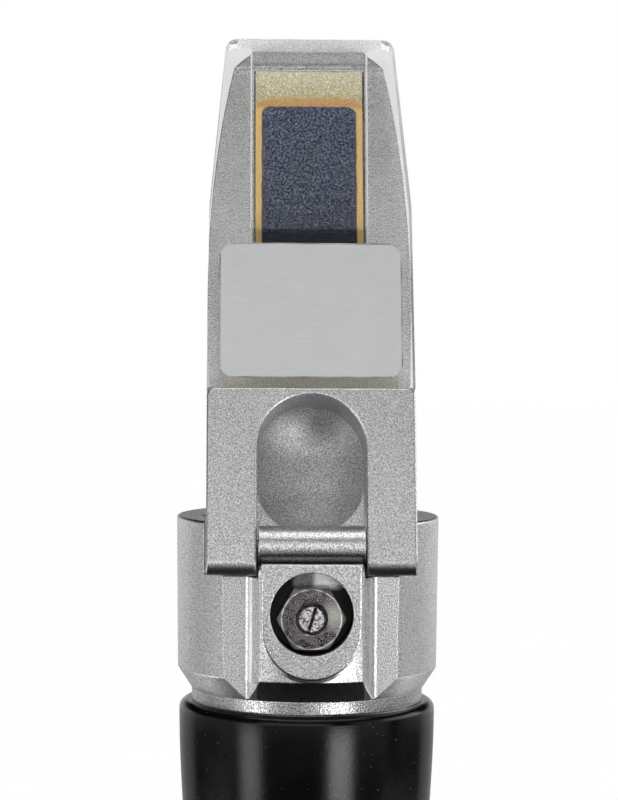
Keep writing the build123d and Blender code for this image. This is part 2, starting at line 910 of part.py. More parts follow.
def eyecup():
    """The soft cup that the eye rests against."""
    top = ring_bottom - eyecup_top_gap
    seat = skirt_radius + slip_gap
    bead = skirt_radius + skirt_bead + slip_gap
    bead_top = eyecup_hollow + skirt_bead_height + slip_gap
    shelf = eyecup_hollow - seat_gap
    edge = eyecup_rim_edge
    wall_top = eyecup_waist_radius - eyecup_wall_taper
    outline = Curve() + [
        Line((eyecup_rim_inner, 0), (eyecup_rim_radius - edge, 0)),
        RadiusArc((eyecup_rim_radius - edge, 0), (eyecup_rim_radius, edge), -edge),
        Line((eyecup_rim_radius, edge), (eyecup_rim_radius, eyecup_rim_height)),
        Spline(
            (eyecup_rim_radius, eyecup_rim_height),
            (eyecup_waist_radius + eyecup_flare_step, eyecup_rim_height + eyecup_flare_rise),
            (eyecup_waist_radius, eyecup_hollow),
            tangents=((-1, 0.5), (0, 1)),
        ),
        Line((eyecup_waist_radius, eyecup_hollow), (wall_top, top)),
        Line((wall_top, top), (seat, top)),
        Line((seat, top), (seat, bead_top)),
        Line((seat, bead_top), (bead, bead_top)),
        Line((bead, bead_top), (bead, shelf)),
        Line((bead, shelf), (eyecup_throat_radius, shelf)),
        Spline(
            (eyecup_throat_radius, shelf),
            (eyecup_throat_radius + eyecup_funnel_step, shelf - eyecup_funnel_drop),
            (eyecup_rim_inner, 0),
            tangents=((0, -1), (0.6, -1)),
        ),
    ]
    return revolve(Plane.XZ * make_face(outline), Axis.Z)


def cell_bottom():
    """Height of the lens cell's lower end at rest."""
    return thread_top() - eye_travel - eye_thread_length


def eye_lens_cell():
    """The sliding cell of the eyepiece, with its thread below and its guided skirt above."""
    bottom = cell_bottom()
    shoulder = bottom + eye_thread_length
    top = shoulder + eye_skirt_length
    bore = eye_lens_radius + slip_gap
    body = turned(
        [
            (eye_lens_radius - lens_lip_width, bottom),
            (eye_thread_radius, bottom),
            (eye_thread_radius, shoulder),
            (barrel_bore_radius - slip_gap, shoulder),
            (barrel_bore_radius - slip_gap, top),
            (bore, top),
            (bore, bottom + eye_lip_height),
            (eye_lens_radius - lens_lip_width, bottom + eye_lip_height),
        ]
    )
    slot_width = 2 * (guide_screw_radius + slip_gap)
    slot_bottom = guide_screw_height() - guide_slot_length / 2
    slot_height = top + overrun - slot_bottom
    slot = Box(slot_width, barrel_bore_radius, slot_height, align=(Align.CENTER, Align.MIN, Align.MIN))
    return body - Pos(0, 0, slot_bottom) * slot


def eye_lens():
    """The strong lens next to the eye."""
    bottom = cell_bottom() + eye_lip_height + slip_gap
    return lens(eye_lens_radius, eye_lens_edge, eye_lens_bulge, bottom, spacer_wall + slip_gap)


def lens_spacer():
    """The blackened tube that keeps the two eyepiece lenses apart."""
    bottom = cell_bottom() + eye_lip_height + 2 * slip_gap + eye_lens_edge
    return tube(eye_lens_radius, eye_lens_radius - spacer_wall, bottom, bottom + lens_spacing)


def field_lens():
    """The weak lens next to the scale."""
    bottom = cell_bottom() + eye_lip_height + 3 * slip_gap + eye_lens_edge + lens_spacing
    return lens(eye_lens_radius, field_lens_edge, -field_lens_bulge, bottom, spacer_wall + slip_gap)


def eye_retainer():
    """The threaded ring above the field lens."""
    bottom = cell_bottom() + eye_lip_height + 4 * slip_gap + eye_lens_edge + lens_spacing + field_lens_edge
    return tube(eye_lens_radius, eye_lens_radius - spacer_wall, bottom, bottom + retainer_height)


pieces = [
    prism_housing,
    measuring_prism,
    prism_seal,
    adjuster_escutcheon,
    main_tube,
    tube_seal_ring,
    rubber_grip,
    field_stop,
    reticle_holder,
    scale_reticle,
    reticle_retainer,
    eyepiece_barrel,
    lens_guide_screw,
    hinge_frame,
    daylight_plate,
    rating_label,
    hinge_pin,
    lock_nut,
    adjusting_screw,
    objective_cell,
    objective_lens,
    objective_retainer,
    focus_ring,
    focus_ring_screws,
    eyecup,
    eye_lens_cell,
    eye_lens,
    lens_spacer,
    field_lens,
    eye_retainer,
]

for piece in pieces:
    export_step(piece(), f"parts/{piece.__name__}.step")
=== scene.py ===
"""The finishes, fine shapes and studio of a handheld refractometer, built round its packed parts."""

from math import cos, degrees, pi, radians, sin, sqrt, tan
from typing import NamedTuple

import bmesh
import bpy
from mathutils import Matrix, Vector
from mathutils.geometry import interpolate_bezier


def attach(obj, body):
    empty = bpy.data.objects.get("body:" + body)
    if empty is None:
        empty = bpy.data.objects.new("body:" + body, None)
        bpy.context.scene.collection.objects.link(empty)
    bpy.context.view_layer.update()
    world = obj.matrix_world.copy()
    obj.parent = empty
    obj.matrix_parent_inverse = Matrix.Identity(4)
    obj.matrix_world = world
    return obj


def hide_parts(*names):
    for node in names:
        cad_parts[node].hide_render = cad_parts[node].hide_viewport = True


bl_info = {
    "name": "Refractometer Dresser",
    "version": (1, 0, 0),
    "blender": (4, 5, 0),
    "location": "View3D > Sidebar > Refractometer",
    "description": "Dresses a packed handheld refractometer with its finishes, fine shapes and studio",
    "category": "Object",
}

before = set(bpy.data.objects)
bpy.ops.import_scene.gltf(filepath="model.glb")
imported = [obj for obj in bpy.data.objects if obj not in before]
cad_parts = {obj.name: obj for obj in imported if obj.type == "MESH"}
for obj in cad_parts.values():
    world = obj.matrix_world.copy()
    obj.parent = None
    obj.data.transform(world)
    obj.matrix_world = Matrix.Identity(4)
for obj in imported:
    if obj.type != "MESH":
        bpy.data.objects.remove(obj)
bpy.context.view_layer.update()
MM = 0.001

# The cover's slanted frame: its pin, and the directions up the face and out of it
FACE_ANGLE = radians(16.0)
PIN = Vector((0.0, -0.0135, 0.1096))
UP_FACE = Vector((0.0, sin(FACE_ANGLE), cos(FACE_ANGLE)))
OUT_FACE = Vector((0.0, -cos(FACE_ANGLE), sin(FACE_ANGLE)))

# The housing, in millimetres: its access hole, knuckle, measuring face, dish and tip
HOLE_HEIGHT = 101.86
HOLE_RADIUS = 4.9
HOLE_BACK = 9.0
HOLE_MOUTH = 15.1
KNUCKLE_HALF = 6.25
KNUCKLE_FOOT = 107.0
FACE_OFFSET = -5.3
DISH_LOW = -2.0
DISH_HIGH = 17.0
TIP_FOOT = 166.2

# The lock nut about its own axis, in millimetres
ADJUSTER_HEIGHT = 101.2
NUT_BASE = 12.35
NUT_TOP = 15.25
NUT_FLAT = 3.6
NUT_FACE = 3.52
NUT_CHAMFER = 0.42
NUT_BORE = 1.8
SCREW_END = 15.4
SCREW_FACE = 1.38
SLOT_TILT = radians(16.0)

# The land, the inset plate in it, and the walls and flats beside it, in millimetres
INSET_CENTRE = 100.04
INSET_RADIUS = 5.92
LAND_EDGE = 6.05
LAND_FRONT = 15.6
WALL_FOOT = 7.45
FLAT_EDGE = 11.0
FLAT_DEPTH = 9.5
FLAT_FOOT = 93.6
FLAT_TOP = 108.0

# The rubber pieces, in millimetres
GRIP_BORE = 13.05
GRIP_BOTTOM = 37.0
GRIP_TOP = 89.7
GRIP_LOW = 15.1
GRIP_WAIST = 14.6
GRIP_WAIST_HEIGHT = 60.7
GRIP_HIGH = 15.62
GRIP_LIP = 1.05
CUP_RIM = 17.6
CUP_MOUTH = 14.85
CUP_WAIST = 14.9
CUP_WAIST_TOP = 9.0
CUP_THROAT = 12.0
CUP_BORE = 13.25
CUP_GROOVE = 13.85
CUP_GROOVE_TOP = 10.55
CUP_SHELF = 8.9
CUP_TOP = 16.3

# The focus ring, in millimetres
RING_BOTTOM = 16.5
RING_TOP = 35.0
RING_RADIUS = 15.8
RING_ROUNDING = 0.8
RING_BORE = 11.25
RING_SHELF = 23.7
THREAD_BORE = 10.25
THREAD_FOOT = 18.2
SKIRT_BORE = 11.6
SKIRT_FOOT = 9.0
SKIRT_RADIUS = 13.2
BEAD_RADIUS = 13.8
BEAD_TOP = 10.5
RIB_GROOVE = 0.85
RIB_MARGIN = 2.2
RING_SCREWS = 3
RING_SCREW_HEIGHT = 29.15
RING_SCREW_RADIUS = 1.0
RING_SCREW_POINT = 10.65

# The clear plate on the slanted frame, with its pad and tongues, in millimetres
FRAME_FRONT = 1.3
PLATE_FOOT = 18.9
PLATE_BEND = 41.5
PLATE_TOP = 62.9
PLATE_FOOT_HALF = 12.4
PLATE_BEND_HALF = 12.2
PLATE_TOP_HALF = 10.2
PLATE_CORNER = 1.5
PLATE_BACK = -4.0
PLATE_SIDE = 9.9
PAD_FACE = -5.1
PAD_HALF = 7.2
PAD_TOP = 62.85
PAD_FOOT_HALF = 10.5
PAD_FOOT_TOP = 22.3
TONGUE_ACROSS = 9.5
TONGUE_HALF = 1.7
TONGUE_LOW = 11.9
TONGUE_HIGH = 19.4
TONGUE_BACK = -2.725
TONGUE_FRONT = -0.125

# The label on the slanted frame, in millimetres
LABEL_HALF = 10.95
LABEL_LOW = 20.1
LABEL_HIGH = 36.8
LABEL_CORNER = 1.7
LABEL_RIM = 0.14
LABEL_SINK = 0.01
LABEL_SHADE = 40.0

# The prism's face on the slanted frame, in millimetres
PRISM_HALF = 5.725
PRISM_TOP = 55.65
PRISM_CORNER = 1.1
CEMENT_HALF = 6.75

# Edges that turn by less than these are smoothed
SHARP = radians(35)
NUT_SHARP = radians(18)
LABEL_SHARP = radians(25)

# The studio: its floor in metres, how softly a patch of light fades out, and the camera's turn
FLOOR_HALF = 3.0
FLOOR_HEIGHT = -0.0001
BOX_FADE = 3.0
CAMERA_TURN = radians(-0.01)


# ---------------------------------------------------------------- sizes and colours


class DresserMetal(bpy.types.PropertyGroup):
    """Finish of the blasted alloy castings and of the plated steel."""

    casting: bpy.props.FloatVectorProperty(
        name="Casting Colour",
        description="Reflection colour of the housing and the hinge frame",
        subtype="COLOR",
        default=(0.74, 0.745, 0.755),
    )
    turned: bpy.props.FloatVectorProperty(
        name="Turned Alloy Colour",
        description="Reflection colour of the tube's shoulder, the inset plate and the barrel",
        subtype="COLOR",
        default=(0.68, 0.68, 0.675),
    )
    steel: bpy.props.FloatVectorProperty(
        name="Steel Colour",
        description="Reflection colour of the nut, the screws and the hinge pin",
        subtype="COLOR",
        default=(0.30, 0.285, 0.295),
    )
    grain: bpy.props.FloatProperty(
        name="Blast Grain",
        description="Width of one grain of the blasted surface",
        default=0.00014,
        unit="LENGTH",
        precision=5,
    )
    roughness: bpy.props.FloatProperty(
        name="Casting Roughness",
        description="Mean roughness of the blasted surface",
        default=0.31,
        min=0.0,
        max=1.0,
        subtype="FACTOR",
    )
    edge_radius: bpy.props.FloatProperty(
        name="Edge Radius",
        description="Radius of the softened edges of the castings",
        default=0.00018,
        unit="LENGTH",
        precision=5,
    )


class DresserClear(bpy.types.PropertyGroup):
    """Sizes and finish of the clear cover plate and its label."""

    recess: bpy.props.FloatProperty(
        name="Front Recess",
        description="How far the clear plate lies behind the frame's front",
        default=0.00015,
        unit="LENGTH",
        precision=5,
    )
    bevel: bpy.props.FloatProperty(
        name="Plate Edge",
        description="Width of the broken edges of the clear plate",
        default=0.00025,
        unit="LENGTH",
        precision=5,
    )
    tint: bpy.props.FloatVectorProperty(
        name="Plate Tint",
        description="Colour that light takes through the plate",
        subtype="COLOR",
        default=(0.975, 0.976, 0.978),
    )
    foil: bpy.props.FloatVectorProperty(
        name="Foil Colour",
        description="Colour of the bare label",
        subtype="COLOR",
        default=(0.80, 0.805, 0.815),
    )


class DresserPrism(bpy.types.PropertyGroup):
    """Colours of the measuring prism and the cement round it."""

    glass: bpy.props.FloatVectorProperty(
        name="Prism Colour",
        description="Colour of the measuring face",
        subtype="COLOR",
        default=(0.003, 0.005, 0.014),
    )
    flecks: bpy.props.FloatVectorProperty(
        name="Fleck Colour",
        description="Colour of the pale flecks that the ground pad leaves on the prism",
        subtype="COLOR",
        default=(0.105, 0.14, 0.25),
    )
    gold: bpy.props.FloatVectorProperty(
        name="Cement Colour",
        description="Colour of the cement beside the prism",
        subtype="COLOR",
        default=(0.78, 0.52, 0.155),
    )
    pale: bpy.props.FloatVectorProperty(
        name="Pale Cement Colour",
        description="Colour of the cement at the tip",
        subtype="COLOR",
        default=(0.60, 0.56, 0.36),
    )


class DresserRubber(bpy.types.PropertyGroup):
    """Finish of the grip, the eyecup and the ribbed ring."""

    colour: bpy.props.FloatVectorProperty(
        name="Rubber Colour",
        description="Colour of the rubber grip and the eyecup",
        subtype="COLOR",
        default=(0.0035, 0.0035, 0.0035),
    )
    roughness: bpy.props.FloatProperty(
        name="Rubber Roughness",
        description="Mean roughness of the rubber",
        default=0.17,
        min=0.0,
        max=1.0,
        subtype="FACTOR",
    )
    ribs: bpy.props.IntProperty(
        name="Ribs",
        description="Number of grooves round the focus ring",
        default=30,
        min=3,
    )
    groove: bpy.props.FloatProperty(
        name="Groove Depth",
        description="Depth of one groove of the focus ring",
        default=0.00055,
        unit="LENGTH",
        precision=5,
    )


class DresserStage(bpy.types.PropertyGroup):
    """Camera, floor and light."""

    distance: bpy.props.FloatProperty(
        name="Camera Distance",
        description="Distance from the camera to the optical axis",
        default=0.32,
        unit="LENGTH",
    )
    height: bpy.props.FloatProperty(
        name="Camera Height",
        description="Height of the camera over the surface that the instrument stands on",
        default=0.1391,
        unit="LENGTH",
        precision=4,
    )
    azimuth: bpy.props.FloatProperty(
        name="Camera Side Angle",
        description="Angle of the camera to the right of the instrument's front",
        default=radians(-1.95),
        subtype="ANGLE",
    )
    pitch: bpy.props.FloatProperty(
        name="Camera Pitch",
        description="How far the camera looks down",
        default=radians(2.3),
        subtype="ANGLE",
    )
    roll: bpy.props.FloatProperty(
        name="Camera Roll",
        description="Turn of the camera about its own line of sight",
        default=radians(0.35),
        subtype="ANGLE",
    )
    focal: bpy.props.FloatProperty(
        name="Focal Length",
        description="Focal length in picture heights",
        default=2620.0 / 800.0,
        min=0.1,
    )
    light: bpy.props.FloatProperty(
        name="Light Strength",
        description="Strength of the studio light",
        default=1.0,
        min=0.0,
    )


# ---------------------------------------------------------------- shader helpers


class Shade:
    """One value on a surface, as a node's socket, with arithmetic that adds Math nodes."""

    def __init__(self, paint, socket):
        self.paint = paint
        self.socket = socket

    def math(self, operation, *others):
        """A Math node on this value and others."""
        values = dict(enumerate((self, *others)))
        return self.paint.node("ShaderNodeMath", {"operation": operation}, values)[0]

    def __add__(self, other):
        return self.math("ADD", other)

    __radd__ = __add__

    def __sub__(self, other):
        return self.math("SUBTRACT", other)

    def __rsub__(self, other):
        return self.paint.node("ShaderNodeMath", {"operation": "SUBTRACT"}, {0: other, 1: self})[0]

    def __mul__(self, other):
        return self.math("MULTIPLY", other)

    __rmul__ = __mul__

    def __truediv__(self, other):
        return self.math("DIVIDE", other)

    def __abs__(self):
        return self.math("ABSOLUTE")

    def larger(self, other):
        """The larger of two values."""
        return self.math("MAXIMUM", other)

    def clamp(self):
        """This value held between 0 and 1."""
        return self.paint.node("ShaderNodeClamp", {}, {"Value": self})[0]


class Nodes:
    """The outputs of one node, by number or by name."""

    def __init__(self, paint, node):
        self.paint = paint
        self.node = node

    def __getitem__(self, key):
        return Shade(self.paint, self.node.outputs[key])


class Tree:
    """A node tree under construction."""

    def __init__(self, tree):
        self.tree = tree

    def node(self, kind, settings=None, values=None):
        """Adds a node: its settings first, then the values or links of its sockets."""
        node = self.tree.nodes.new(kind)
        for key, value in (settings or {}).items():
            setattr(node, key, value)
        for key, value in (values or {}).items():
            socket = node.inputs[key]
            if isinstance(value, Shade):
                self.tree.links.new(value.socket, socket)
            elif socket.type == "RGBA" and len(value) == 3:
                socket.default_value = (*value, 1.0)
            else:
                socket.default_value = value
        return Nodes(self, node)

    def parts(self, vector):
        """The three numbers of a vector."""
        return self.node("ShaderNodeSeparateXYZ", {}, {0: vector})

    def flat_vector(self, first, second):
        """A vector from two numbers."""
        return self.node("ShaderNodeCombineXYZ", {}, {0: first, 1: second})[0]


class Layout(Tree):
    """A Geometry Nodes tree under construction, with named inputs."""

    def __init__(self, name, inputs):
        super().__init__(bpy.data.node_groups.new(name, "GeometryNodeTree"))
        outline = self.tree.interface
        outline.new_socket("Geometry", in_out="OUTPUT", socket_type="NodeSocketGeometry")
        self.sockets = {}
        for title, kind in {"Geometry": "NodeSocketGeometry", **inputs}.items():
            self.sockets[title] = outline.new_socket(title, in_out="INPUT", socket_type=kind).identifier

    def finish(self, geometry):
        """Links the last geometry to the tree's output."""
        output = self.tree.nodes.new("NodeGroupOutput")
        self.tree.links.new(geometry.socket, output.inputs["Geometry"])

    def applied(self, piece, values):
        """The plain mesh that this tree makes of a piece."""
        modifier = piece.modifiers.new(self.tree.name, "NODES")
        modifier.node_group = self.tree
        for title, value in values.items():
            modifier[self.sockets[title]] = value
        settled(piece)
        smoothed(piece.data)
        return piece


class Paint(Tree):
    """A material or a world under construction."""

    def __init__(self, owner, output="ShaderNodeOutputMaterial"):
        owner.use_nodes = True
        super().__init__(owner.node_tree)
        self.owner = owner
        self.tree.nodes.clear()
        self.output = self.tree.nodes.new(output)

    def finish(self, shader):
        """Links the last shader to the output and returns what was painted."""
        self.tree.links.new(shader.socket, self.output.inputs["Surface"])
        return self.owner

    def place(self):
        """The object's own coordinates, in metres."""
        return self.node("ShaderNodeTexCoord")["Object"]

    def noise(self, size, detail=2.0, roughness=0.5, stretch=(1.0, 1.0, 1.0)):
        """Noise whose grains are this wide, in metres, and stretched along an axis."""
        grains = self.node(
            "ShaderNodeMapping",
            {"vector_type": "TEXTURE"},
            {"Vector": self.place(), "Scale": tuple(size * share for share in stretch)},
        )[0]
        return self.node(
            "ShaderNodeTexNoise",
            {"noise_dimensions": "3D"},
            {"Vector": grains, "Scale": 1.0, "Detail": detail, "Roughness": roughness},
        )["Fac"]

    def spread(self, value, low, high, out_low=0.0, out_high=1.0):
        """A value moved from one range to another and held there."""
        return self.node(
            "ShaderNodeMapRange",
            {"clamp": True},
            {"Value": value, "From Min": low, "From Max": high, "To Min": out_low, "To Max": out_high},
        )[0]

    def mixed(self, share, first, second):
        """A colour between two colours."""
        return self.node("ShaderNodeMix", {"data_type": "RGBA"}, {0: share, 6: first, 7: second})[2]

    def reach(self, first, second):
        """How far a point is from the middle, from its two distances."""
        spot = self.flat_vector(first, second)
        return self.node("ShaderNodeVectorMath", {"operation": "LENGTH"}, {0: spot})["Value"]

    def band(self, value, low, high, soft):
        """1 where a value lies between two bounds, fading out over a soft margin."""
        return self.spread(value, low - soft, low) * self.spread(value, high + soft, high)

    def slanted(self):
        """Millimetres across, up and out on the cover's slanted face, from the hinge pin."""
        spot = self.parts(self.place())
        back = (spot["Y"] - PIN.y) / MM
        rise = (spot["Z"] - PIN.z) / MM
        up = back * UP_FACE.y + rise * UP_FACE.z
        out = back * OUT_FACE.y + rise * OUT_FACE.z
        return spot["X"] / MM, up, out

    def edges(self, radius):
        """Softened normals and a mask that is 1 on the edges."""
        soft = self.node("ShaderNodeBevel", {"samples": 6}, {"Radius": radius})[0]
        hard = self.node("ShaderNodeNewGeometry")["Normal"]
        dot = self.node("ShaderNodeVectorMath", {"operation": "DOT_PRODUCT"}, {0: soft, 1: hard})["Value"]
        return soft, self.spread(dot, 0.995, 0.80)

    def bump(self, height, distance, strength=1.0, normal=None):
        """A bump of this depth in metres."""
        values = {"Height": height, "Distance": distance, "Strength": strength}
        if normal is not None:
            values["Normal"] = normal
        return self.node("ShaderNodeBump", {}, values)[0]

    def principled(self, **values):
        """The main shader."""
        names = {key.replace("_", " "): value for key, value in values.items()}
        return self.node("ShaderNodeBsdfPrincipled", {}, names)[0]


def new_paint(name):
    """A new material under construction."""
    return Paint(bpy.data.materials.new(name))


def scaled(colour, share):
    """A colour made darker or lighter."""
    return tuple(min(1.0, share * part) for part in colour)


class MarksAndLight(NamedTuple):
    """How much painted shade, haze, coarse grain and painted highlight a casting gets at each spot, from 0
    to 1.
    """

    painted_shade: object = 0.0
    haze: object = 0.0
    coarse: object = 0.0
    painted_highlight: object = 0.0


# ---------------------------------------------------------------- finishes


def blasted_alloy(name, colour, metal, roughness, relief=1.0, marks_and_light=None):
    """Sand-blasted aluminium: sparkling grain, soft mottling, edges painted lighter as wear and as a
    highlight, and the painted shade and painted highlights that its marks give.
    """
    paint = new_paint(name)
    grain = paint.noise(metal.grain, detail=1.0, roughness=0.5)
    broad = paint.noise(metal.grain * 2.6, detail=2.0, roughness=0.6)
    mottle = paint.noise(0.006, detail=3.0, roughness=0.6)
    soft, edge = paint.edges(metal.edge_radius)
    speckle = paint.spread(grain * 0.9 + broad * 0.1, 0.40, 0.60)
    low = scaled(colour, 1.0 - 0.42 * relief)
    high = scaled(colour, 1.0 + 0.34 * relief)
    tone = paint.mixed(speckle, low, high)
    tone = paint.mixed(paint.spread(mottle, 0.3, 0.7, 0.0, 0.10), tone, scaled(colour, 0.6))
    # Edges are painted lighter, as wear and as a highlight
    tone = paint.mixed(edge * 0.22, tone, (0.90, 0.90, 0.90))
    rough = roughness + 0.08 * (mottle - 0.5) + 0.08 * (1.0 - speckle) - 0.06 * edge
    height = grain + broad * 0.3
    if marks_and_light:
        painted_shade, haze, coarse, painted_highlight = marks_and_light(paint)
        sparkle = paint.mixed(paint.spread(grain, 0.43, 0.57), scaled(colour, 0.52), (0.97, 0.97, 0.96))
        tone = paint.mixed(coarse, tone, sparkle)
        # Painted highlights lighten the tone and painted shade darkens it
        tone = paint.mixed(painted_highlight, tone, (0.98, 0.98, 0.97))
        tone = paint.mixed((painted_shade * (0.80 + 0.35 * broad)).clamp(), tone, (0.022, 0.021, 0.020))
        rough = rough + 0.22 * haze - 0.10 * painted_highlight
        even = paint.node("ShaderNodeBevel", {"samples": 6}, {"Radius": 0.0008})[0]
        soft = paint.mixed(haze, soft, even)
    bumped = paint.bump(height, 0.000022 * relief, 1.0, soft)
    return paint.finish(
        paint.principled(Base_Color=tone, Metallic=1.0, Roughness=rough.clamp(), Normal=bumped)
    )


def housing_marks_and_light(paint):
    """Where the housing gets painted shade, haze, coarse grain and painted highlights."""
    across, up, out = paint.slanted()
    spot = paint.parts(paint.place())
    depth = spot["Y"] / -MM
    height = spot["Z"] / MM
    aside = abs(across)

    # The access hole is darkened with painted shade, and its roof gets painted light, mostly right of the
    # middle
    hole = paint.spread(paint.reach(across, height - HOLE_HEIGHT), HOLE_RADIUS + 0.06, HOLE_RADIUS)
    hole = hole * paint.spread(depth, HOLE_MOUTH + 0.1, HOLE_MOUTH - 0.1)
    hole = hole * paint.spread(depth, HOLE_BACK, HOLE_BACK + 0.5)
    roof = paint.band(across, 0.7, 3.2, 0.9).larger(paint.band(across, -1.8, 3.0, 0.8) * 0.35)
    roof = roof * paint.spread(height, HOLE_HEIGHT + 2.2, HOLE_HEIGHT + 3.3)

    # Painted shade under the knuckle, in the step below the land and in a line round the inset plate
    knuckle = paint.band(height, KNUCKLE_FOOT, KNUCKLE_FOOT + 1.7, 0.35) * paint.spread(depth, 13.6, 14.2)
    knuckle = knuckle * paint.spread(aside, KNUCKLE_HALF + 0.1, KNUCKLE_HALF - 0.1)
    step = paint.band(height, 91.0, FLAT_FOOT + 0.12, 0.05)
    step = step * paint.spread(aside, LAND_EDGE + 0.35, LAND_EDGE + 0.2) * paint.spread(depth, 8.0, 9.0)
    on_land = paint.spread(depth, LAND_FRONT - 0.2, LAND_FRONT)
    on_land = on_land * paint.spread(aside, LAND_EDGE + 0.05, LAND_EDGE)
    seam = paint.reach(across, height - INSET_CENTRE)
    below = paint.spread(height, INSET_CENTRE - 1.0 + 0.5 * across, INSET_CENTRE - 2.5 + 0.5 * across)
    groove = paint.band(seam, INSET_RADIUS, INSET_RADIUS + 0.38, 0.06) * on_land * below

    # The walls beside the land get painted shade at the top and a painted highlight along the foot
    wall = paint.band(height, FLAT_FOOT, FLAT_TOP, 0.2)
    wall_top = paint.band(aside, LAND_EDGE + 0.15, LAND_EDGE + 0.80, 0.12) * wall
    wall_top = wall_top * paint.spread(depth, FLAT_DEPTH, FLAT_DEPTH + 1.0)
    front = paint.spread(aside, FLAT_EDGE + 0.2, FLAT_EDGE - 0.2)
    front = front * paint.spread(depth, FLAT_DEPTH, FLAT_DEPTH + 1.0)
    wall_foot = paint.band(aside, WALL_FOOT - 0.45, WALL_FOOT + 0.25, 0.12) * wall * front
    coarse = paint.band(height, FLAT_FOOT, KNUCKLE_FOOT + 2.4, 0.3) * front
    # The land's lower corners get a faint painted highlight
    corner = on_land * paint.spread(height, 97.6, 96.6)

    # The dish is hazy and darkened with painted shade, most in a spot and a band near its top; the tip's
    # bevel gets painted shade, and the measuring face is painted brighter as painted light
    dish = paint.band(up, DISH_LOW, DISH_HIGH, 0.5) * paint.spread(out, FACE_OFFSET, FACE_OFFSET - 0.3)
    dish = dish * paint.spread(aside, KNUCKLE_HALF + 1.3, KNUCKLE_HALF + 1.1)
    dish = dish * paint.spread(depth, -6.0, -5.0)
    shade_spot = paint.spread(paint.reach(across - 0.9, height - 123.0), 2.8, 0.4)
    shadow = paint.band(height, 117.0, 121.0, 1.5)
    grain = paint.noise(0.00018, detail=2.0, roughness=0.65)
    tip = paint.spread(height, TIP_FOOT, TIP_FOOT + 0.2) * paint.spread(grain, 0.60, 0.40, 0.25, 1.0)
    face = paint.spread(out, FACE_OFFSET - 0.3, FACE_OFFSET) * paint.spread(up, 20.0, 22.0)

    # Painted shade: hole, knuckle, step, groove, walls' tops, tip and dish; painted highlights: walls'
    # feet, land corners, hole roof and measuring face
    painted_shade = (hole * (1.15 - 0.98 * roof)).larger(knuckle * 0.80).larger(step * 0.70)
    painted_shade = painted_shade.larger(groove * 0.93).larger(wall_top * 0.22).larger(tip * 0.62)
    painted_shade = painted_shade.larger(dish * (0.05 + 0.10 * shadow + 0.32 * shade_spot))
    painted_highlight = (wall_foot * 0.8).larger(corner * 0.15).larger(hole * roof * 0.8).larger(face * 0.92)
    return MarksAndLight(painted_shade, dish, coarse, painted_highlight)


def cover_painted_shade(paint):
    """Painted shade under the legs' toes, a little more on the right."""
    spot = paint.parts(paint.place())
    # Painted shade on the toes
    toes = paint.spread(spot["Z"] / MM, FLAT_TOP + 0.1, FLAT_TOP - 0.3)
    return MarksAndLight(painted_shade=toes * (0.30 + 0.18 * paint.spread(spot["X"] / MM, -2.0, 2.0)))


def inset_wear(paint):
    """The inset plate is coarse all over."""
    return MarksAndLight(coarse=1.0)


def plated_steel(name, colour, marks=None):
    """Plated steel with fine pits, edges painted bright as wear and as a highlight, and the marks of its
    own piece.
    """
    paint = new_paint(name)
    fine = paint.noise(0.00014, detail=2.0, roughness=0.7)
    blotch = paint.noise(0.0011, detail=3.0, roughness=0.6)
    soft, edge = paint.edges(0.00012)
    pits = paint.spread(fine, 0.54, 0.64)
    tone = paint.mixed(paint.spread(blotch, 0.35, 0.68), scaled(colour, 0.66), colour)
    tone = paint.mixed(pits * 0.5, tone, (0.66, 0.64, 0.66))
    tone = paint.mixed(paint.spread(fine, 0.42, 0.34) * 0.6, tone, scaled(colour, 0.2))
    # Edges are painted bright, as wear and as a highlight
    tone = paint.mixed(edge * 0.8, tone, (0.86, 0.85, 0.84))
    if marks:
        tone = marks(paint, tone, fine, blotch)
    rough = 0.30 + 0.10 * blotch + 0.12 * pits
    bumped = paint.bump(fine, 0.00004, 1.0, soft)
    return paint.finish(
        paint.principled(Base_Color=tone, Metallic=1.0, Roughness=rough.clamp(), Normal=bumped)
    )


def nut_marks(paint, tone, fine, blotch):
    """The nut's dull round face, painted paler to the right as a pool of light, its top painted lighter and
    painted highlights on its two rims.
    """
    spot = paint.parts(paint.place())
    across, height = spot["X"] / MM, spot["Z"] / MM - ADJUSTER_HEIGHT
    middle = paint.reach(across, height)
    dull = paint.mixed(paint.spread(blotch, 0.42, 0.58), (0.030, 0.022, 0.028), (0.12, 0.10, 0.115))
    # Painted light: a pale patch to the right of the face
    pale = paint.spread(paint.reach(across - 2.5, height - 0.5), 2.2, 0.4)
    dull = paint.mixed(pale * 0.8, dull, (0.50, 0.49, 0.44))
    dull = paint.mixed(paint.spread(fine, 0.54, 0.64) * 0.6, dull, (0.85, 0.82, 0.83))
    on_top = paint.spread(spot["Y"] / -MM, NUT_TOP - 0.10, NUT_TOP - 0.05)
    # Painted light: the top of the nut is lighter, where light falls on it
    tone = paint.mixed(paint.spread(height, 2.6, 3.2, 0.0, 0.5), tone, (0.84, 0.83, 0.80))
    tone = paint.mixed(on_top * paint.spread(middle, NUT_FACE + 0.02, NUT_FACE - 0.02), tone, dull)
    # Painted highlights on the two rims
    painted_rim_highlights = paint.band(middle, NUT_FACE - 0.06, NUT_FACE + 0.06, 0.05)
    painted_rim_highlights = painted_rim_highlights.larger(paint.band(middle, NUT_BORE + 0.05, NUT_BORE + 0.18, 0.05))
    worn = (0.30 + paint.spread(blotch, 0.42, 0.58)).clamp()
    return paint.mixed(painted_rim_highlights * worn, tone, (0.97, 0.96, 0.93))


